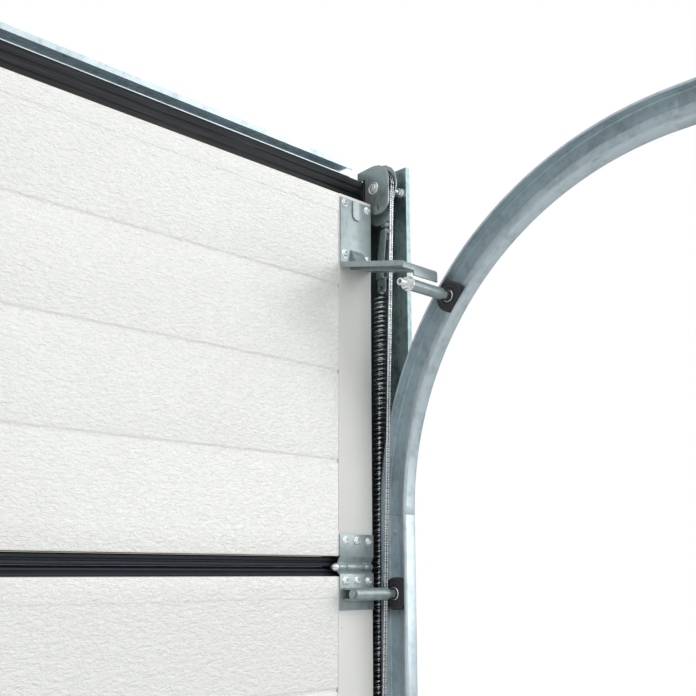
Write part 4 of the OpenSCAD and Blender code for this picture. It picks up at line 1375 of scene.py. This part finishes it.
@dataclass
class SpringGear:
    """Hanging springs, their hangers, and the wire ropes."""

    outer_d: float = 18.5
    outer_wire: float = 3.0
    outer_lead: float = 7.0
    inner_d: float = 11.0
    inner_wire: float = 2.0
    inner_lead: float = 5.2
    rope_d: float = 2.8
    rope_lay: float = 14.0
    head: PulleyHead = field(default_factory=PulleyHead)

    def __post_init__(self) -> None:
        """Reads the spring's line and the hanger's hook from the frame."""
        spring, inner = Extent.of("springs_outer"), Extent.of("springs_inner")
        hanger = Extent.of("spring_hangers")
        self.x = spring.high.x - self.outer_d / 2
        self.foot_z = spring.low.z + 1.0
        self.top_z = inner.high.z + 12.0
        self.foot_y = spring.high.y - self.outer_d / 2
        self.hook_z = hanger.low.z + 8.5
        self.hook_y = hanger.high.y - 8.0
        self.top_y = inner.low.y + self.inner_d / 2 + 0.2
        self.hanger = hanger

    def coil(self, diameter: float, thickness: float, lead: float, steps: int, sides: int, inset: float) -> Shape:
        """Winds one spring along the line between its two ends.

        Args:
            diameter: Outer diameter.
            thickness: Wire diameter.
            lead: Rise of one turn.
            steps: Steps in one turn.
            sides: Sides of the wire's section.
            inset: Distance of its ends inside the line's ends.

        Returns:
            The wound spring in place.
        """
        foot = Vector((self.x, self.foot_y, self.foot_z))
        line = Vector((self.x, self.top_y, self.top_z)) - foot
        turns = int((line.length - 2 * inset) / lead)
        section = Shape()
        bmesh.ops.create_circle(section.bm, cap_ends=False, segments=sides, radius=thickness / 2)
        section.turn(90, "X").move(x=(diameter - thickness) / 2)
        shape = screw_sweep(section, (line.length - 2 * inset) / turns, turns, steps)
        bmesh.ops.translate(shape.bm, vec=(0, 0, inset), verts=shape.bm.verts[:])
        matrix = line.to_track_quat("Z", "Y").to_matrix()
        bmesh.ops.rotate(shape.bm, cent=(0, 0, 0), matrix=matrix, verts=shape.bm.verts[:])
        return shape.move(*foot)

    def hook(self) -> Shape:
        """Bends the spring's upper end into a hook through the hanger's hole."""
        r = (self.outer_d - self.outer_wire) / 2
        x, y, z = self.x, self.top_y, self.top_z
        points = [(x + r, y, z), (x + r * 0.7, y - r * 0.7, z + 1.5), (x - r * 0.2, y - r, z + 3),
                  (x - r * 0.8, y - r * 0.3, z + 4), (x - r * 0.5, y + 1.5, z + 6), (x, self.hook_y + 6.5, z + 10),
                  (x, self.hook_y + 6.5, self.hook_z + 1), (x, self.hook_y + 3, self.hook_z + 4.5),
                  (x, self.hook_y - 1, self.hook_z + 2.5), (x, self.hook_y - 5, self.hook_z - 2),
                  (x, self.hook_y - 7, self.hook_z - 8)]
        return wire(points, self.outer_wire * 0.86)

    def foot_hook(self) -> Shape:
        """Bends the spring's lower end round the stud of the moving block."""
        r = (self.outer_d - self.outer_wire) / 2
        x, y, z = self.x, self.foot_y, self.foot_z
        points = [(x + r, y, z), (x + r * 0.6, y + r * 0.7, z - 1), (x - r * 0.3, y + r * 0.6, z - 2.5),
                  (x - r * 0.3, y, z - 4), (x, y, z - 8), (x, y, z - 14)]
        return wire(points, self.outer_wire * 0.9)

    def rope(self, start: Vector, end: Vector, lay: float) -> Shape:
        """Lays a stranded rope between two points, with six round strands twisted together."""
        line = end - start
        turns = max(1, round(line.length / lay))
        section = Shape()
        bmesh.ops.create_circle(section.bm, cap_ends=False, segments=12, radius=self.rope_d / 2)
        for i, vert in enumerate(sorted(section.bm.verts, key=lambda v: math.atan2(v.co.y, v.co.x))):
            vert.co *= 1.0 if i % 2 else 0.9
        shape = screw_sweep(section, line.length / turns, turns, 10)
        matrix = line.to_track_quat("Z", "Y").to_matrix()
        bmesh.ops.rotate(shape.bm, cent=(0, 0, 0), matrix=matrix, verts=shape.bm.verts[:])
        return shape.move(*start)

    def wrap(self, place: Iterable[float], radius: float, over: bool) -> Shape:
        """Lays half a turn of rope over or under a pulley."""
        shape = Shape()
        bmesh.ops.create_circle(shape.bm, cap_ends=True, segments=12, radius=self.rope_d / 2)
        bmesh.ops.translate(shape.bm, vec=(0, radius, 0), verts=shape.bm.verts[:])
        bmesh.ops.spin(
            shape.bm, geom=shape.bm.verts[:] + shape.bm.edges[:] + shape.bm.faces[:], cent=(0, 0, 0),
            axis=(1, 0, 0), angle=math.pi, steps=28, use_merge=False,
        )
        shape.outwards()
        return (shape if over else shape.turn(180, "X")).move(*place)

    def pairs(self, maker: Callable[[float], Shape]) -> Shape:
        """Makes the two ropes of a side, half a gap to each side of their middle, and mirrors them."""
        gap = self.head.rope_gap / 2
        return Shape().take(maker(-gap), maker(gap)).both()

    def ferrule(self, place: Vector, direction: Vector) -> Shape:
        """Makes the pressed sleeve and the eye that end a door rope at its pin."""
        shape = rod(Axis.Z, (0, 0, 8), 14.0, 4.6, 1.0, 20)
        eye = Shape()
        bmesh.ops.create_circle(eye.bm, cap_ends=False, segments=10, radius=self.rope_d / 2)
        eye.turn(90, "X").move(x=4.4)
        bmesh.ops.spin(eye.bm, geom=eye.bm.verts[:] + eye.bm.edges[:], cent=(0, 0, 0), axis=(0, 0, 1),
                       angle=2 * math.pi, steps=24, use_merge=True)
        eye.outwards().along(Axis.X)
        shape.take(eye)
        matrix = direction.to_track_quat("Z", "Y").to_matrix()
        bmesh.ops.rotate(shape.bm, cent=(0, 0, 0), matrix=matrix, verts=shape.bm.verts[:])
        return shape.move(*place)

    def hangers(self) -> Shape:
        """Makes the threaded stud, its nuts, the two straps and the hook plate."""
        low, high = self.hanger.low, self.hanger.high
        x, top = self.x, high.z
        stud_y = low.y + 6.0
        start = self.head.far_x + self.head.plate_t
        shape = block((start, stud_y - 6, top - 8), (x + 4, stud_y + 6, top), 0.6)
        ridges = []
        for i in range(19):
            z = top - 9 - i * 1.4
            ridges += [(4.0, z), (3.3, z - 0.7)]
        shape.take(turned(Axis.Z, (x, stud_y, 0), [(0.0, top - 8), *ridges, (0.0, top - 36)], 20))
        for z in (top - 16, top - 26):
            shape.take(rod(Axis.Z, (x, stud_y, z), 6.0, 13.0 / math.cos(math.pi / 6), 0.8, 6))
        strap = [(stud_y - 6, top - 20, 5.0), (stud_y + 6, top - 20, 5.0), (self.hook_y + 7, top - 92, 3.0),
                 (self.hook_y - 7, top - 92, 3.0)]
        for edge in (x - 6.0, x + 4.0):
            shape.take(sheet_cut(strap, edge, 2.0, (), 0.5))
        shape.take(block((x - 6, self.hook_y - 7, top - 93), (x + 6, self.hook_y + 7, top - 90.5), 0.5))
        hole = [(self.hook_y - 3.9, self.hook_z - 3.9, 3.85), (self.hook_y + 3.9, self.hook_z - 3.9, 3.85),
                (self.hook_y + 3.9, self.hook_z + 3.9, 3.85), (self.hook_y - 3.9, self.hook_z + 3.9, 3.85)]
        plate = [(self.hook_y - 8, top - 91, 1.0), (self.hook_y + 8, top - 91, 1.0),
                 (self.hook_y + 8, low.z, 7.5), (self.hook_y - 8, low.z, 7.5)]
        return shape.take(sheet_cut(plate, x - 1.5, 3.0, (hole,), 0.5))

    def build(self) -> None:
        """Builds springs, hangers and ropes."""
        outer = self.coil(self.outer_d, self.outer_wire, self.outer_lead, 16, 8, 1.5)
        outer.take(self.hook(), self.foot_hook())
        outer = outer.both().piece("outer_spring_coils", SPRING, STRETCHED, "springs_outer")
        inner = self.coil(self.inner_d, self.inner_wire, self.inner_lead, 12, 6, 12.0).both()
        inner = inner.piece("inner_spring_coils", SPRING, STRETCHED, "springs_inner")
        for coil, high in ((outer, self.top_z), (inner, self.top_z - 12)):
            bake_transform(coil)
        self.hangers().both().piece("spring_hanger_links", PLATE, "frame", "spring_hangers")
        self.build_ropes()

    def build_ropes(self) -> None:
        """Builds the door ropes, the standing back ropes and the ropes of the moving block."""
        door, floor, moving = (Extent.of(n) for n in ("door_ropes", "floor_pulleys", "block_pulleys"))
        head = self.head
        top, pin = Vector((0, head.y - head.rope_r, head.z)), Vector((0, door.high.y - 1.4, door.low.z))
        small = 12.0
        side = Vector((head.rope_x, 0, 0))

        def front(gap: float) -> Shape:
            """Makes one door rope with its ferrule."""
            shift = side + Vector((gap, 0, 0))
            rope = self.rope(pin + shift, top + shift, self.rope_lay)
            return rope.take(self.ferrule(pin + shift - Vector((0, 0, 4)), top - pin))

        ropes = self.pairs(front).piece("door_rope_strands", ROPE, STRETCHED, "door_ropes")
        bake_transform(ropes)

        x = floor.high.x - 4.0
        low, block_at = floor.middle, moving.middle

        def back(gap: float) -> Shape:
            """Makes one rope from the top pulley to the floor pulley."""
            start = Vector((head.rope_x + gap, head.y + head.rope_r, head.z))
            end = Vector((x + gap, low.y + small, low.z))
            over = self.wrap((head.rope_x + gap, head.y, head.z), head.rope_r, True)
            under = self.wrap((x + gap, low.y, low.z), small, False)
            return self.rope(end, start, self.rope_lay).take(over, under)

        self.pairs(back).piece("back_rope_strands", ROPE, "frame", "back_ropes")

        def lifting(gap: float) -> Shape:
            """Makes one rope from the floor pulley over the moving pulley to its anchor."""
            over = self.wrap((x + gap, block_at.y, block_at.z), small, True)
            up = self.rope(Vector((x + gap, low.y - small, low.z)),
                           Vector((x + gap, block_at.y - small, block_at.z)), self.rope_lay)
            anchor = Vector((x + gap, low.y + 2, low.z + 43))
            down = self.rope(anchor, Vector((x + gap, block_at.y + small, block_at.z)), self.rope_lay)
            return over.take(up, down)

        ropes = self.pairs(lifting).piece("block_rope_strands", ROPE, STRETCHED, "block_ropes")
        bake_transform(ropes)


# ------------------------------------------------------------------ the frame


@dataclass
class Surround:
    """Fascia board over the leaf, and the finishes of the plain frame pieces."""

    flutes: int = 5
    flute_d: float = 0.9

    def fascia(self) -> Shape:
        """Makes the fascia board with shallow flutes along its inner face."""
        box = Extent.of("fascia_board")
        y0, y1, z0, z1 = box.low.y, box.high.y, box.low.z, box.high.z
        pitch = (z1 - z0) / (self.flutes + 1)
        outline = [(y1, z0, 1.0), (y0, z0, 1.2)]
        for i in range(1, self.flutes + 1):
            z = z0 + i * pitch
            outline += [(y0, z - 1.6, 0.3), (y0 + self.flute_d, z - 0.4, 0.3), (y0 + self.flute_d, z + 0.4, 0.3),
                        (y0, z + 1.6, 0.3)]
        outline += [(y0, z1, 1.2), (y1, z1, 1.0)]
        return sheet_cut(outline, box.low.x, box.high.x - box.low.x, (), 0.3)

    def build(self) -> None:
        """Builds the fascia and dresses the rest of the frame."""
        self.fascia().piece("fascia_panel", FASCIA, "frame", "fascia_board")
        POST.dress("jamb_post_right", "jamb_post_left")
        TRACK.dress("track_splices", "rear_rail", "fascia_rail")
        PLATE.dress("ceiling_hangers", "floor_brackets", "spring_blocks", "bottom_brackets",
                    "roller_holders", "roller_stems")
        SEAL.dress("frame_seals")


# ----------------------------------------------------------------- the studio


@dataclass
class Studio:
    """Camera, soft lights, pale floor and white surroundings, in metres."""

    eye: Sequence[float] = (0.2535, -0.9793, 1.6011)
    heading: float = 44.14
    rise: float = 13.31
    focal: float = 49.28
    sensor: float = 36.0

    def camera(self) -> None:
        """Sets the camera at the viewing angle."""
        data = bpy.data.cameras.new("camera")
        data.lens, data.sensor_width = self.focal, self.sensor
        data.clip_start = 0.02
        thing = bpy.data.objects.new("camera", data)
        thing.location = self.eye
        thing.rotation_euler = (math.radians(90 + self.rise), 0.0, math.radians(-self.heading))
        bpy.context.scene.collection.objects.link(thing)
        bpy.context.scene.camera = thing

    def lamp(self, name: str, place: Iterable[float], target: Iterable[float], size: float, power: float) -> None:
        """Adds one soft square lamp aimed at a point."""
        data = bpy.data.lights.new(name, "AREA")
        data.size, data.energy = size, power
        thing = bpy.data.objects.new(name, data)
        thing.location = place
        aim = Vector(target) - Vector(place)
        thing.rotation_euler = aim.to_track_quat("-Z", "Y").to_euler()
        bpy.context.scene.collection.objects.link(thing)

    def surroundings(self) -> None:
        """Makes the world: white behind the object, a softer graded dome for its light."""
        world = bpy.data.worlds.new("surroundings")
        world.use_nodes = True
        bpy.context.scene.world = world
        tree = world.node_tree
        tree.nodes.clear()
        coords = tree.nodes.new("ShaderNodeTexCoord").outputs["Generated"]
        split = tree.nodes.new("ShaderNodeSeparateXYZ")
        tree.links.new(coords, split.inputs[0])
        ramp = tree.nodes.new("ShaderNodeValToRGB")
        shift = tree.nodes.new("ShaderNodeMapRange")
        shift.inputs["From Min"].default_value = -1.0
        tree.links.new(split.outputs["Z"], shift.inputs["Value"])
        tree.links.new(shift.outputs["Result"], ramp.inputs["Fac"])
        ramp.color_ramp.elements[0].position = 0.30
        ramp.color_ramp.elements[0].color = (0.16, 0.18, 0.18, 1)
        ramp.color_ramp.elements[1].position = 0.75
        ramp.color_ramp.elements[1].color = (0.95, 0.97, 1.0, 1)
        dome, white = (tree.nodes.new("ShaderNodeBackground") for _ in range(2))
        tree.links.new(ramp.outputs["Color"], dome.inputs["Color"])
        dome.inputs["Strength"].default_value = 0.74
        white.inputs["Color"].default_value = (1, 1, 1, 1)
        path = tree.nodes.new("ShaderNodeLightPath")
        mix = tree.nodes.new("ShaderNodeMixShader")
        out = tree.nodes.new("ShaderNodeOutputWorld")
        tree.links.new(path.outputs["Is Camera Ray"], mix.inputs[0])
        tree.links.new(dome.outputs[0], mix.inputs[1])
        tree.links.new(white.outputs[0], mix.inputs[2])
        tree.links.new(mix.outputs[0], out.inputs["Surface"])

    def floor(self) -> None:
        """Lays the pale floor."""
        shape = Shape()
        bmesh.ops.create_grid(shape.bm, x_segments=1, y_segments=1, size=7.0)
        mesh = bpy.data.meshes.new("floor")
        shape.move(z=-0.001).bm.to_mesh(mesh)
        shape.bm.free()
        board = Board("floor_paint")
        board.shade(board.noise(2.0, 2.0), [(0.3, (0.78, 0.78, 0.77)), (0.7, (0.81, 0.81, 0.80))])
        board.set(Roughness=0.8)
        mesh.materials.append(board.material)
        thing = bpy.data.objects.new("floor", mesh)
        bpy.context.scene.collection.objects.link(thing)

    def build(self) -> None:
        """Sets up the studio."""
        bpy.context.scene.view_settings.view_transform = "Standard"
        self.camera()
        self.surroundings()
        self.floor()
        self.lamp("key", (2.5, -2.0, 2.6), (0.9, -0.1, 1.9), 1.9, 28.0)
        self.lamp("fill", (-1.2, -2.4, 2.2), (1.0, 0.0, 1.8), 2.6, 16.0)
        self.lamp("top", (0.6, -1.2, 3.6), (0.8, -0.1, 1.8), 2.0, 9.0)


def main() -> None:
    """Builds the door in order: studio, leaf, hinges, supports, rollers, tracks, pulleys, springs, frame."""
    logging.basicConfig(level=logging.INFO, format="%(message)s")
    Studio().build()
    Leaf().build()
    hinges = Hinges()
    hinges.build()
    TopSupport().build(hinges.upper_screws)
    Rollers().build()
    Tracks().build()
    PulleyHead().build()
    SpringGear().build()
    Surround().build()


if __name__ == "__main__":
    main()
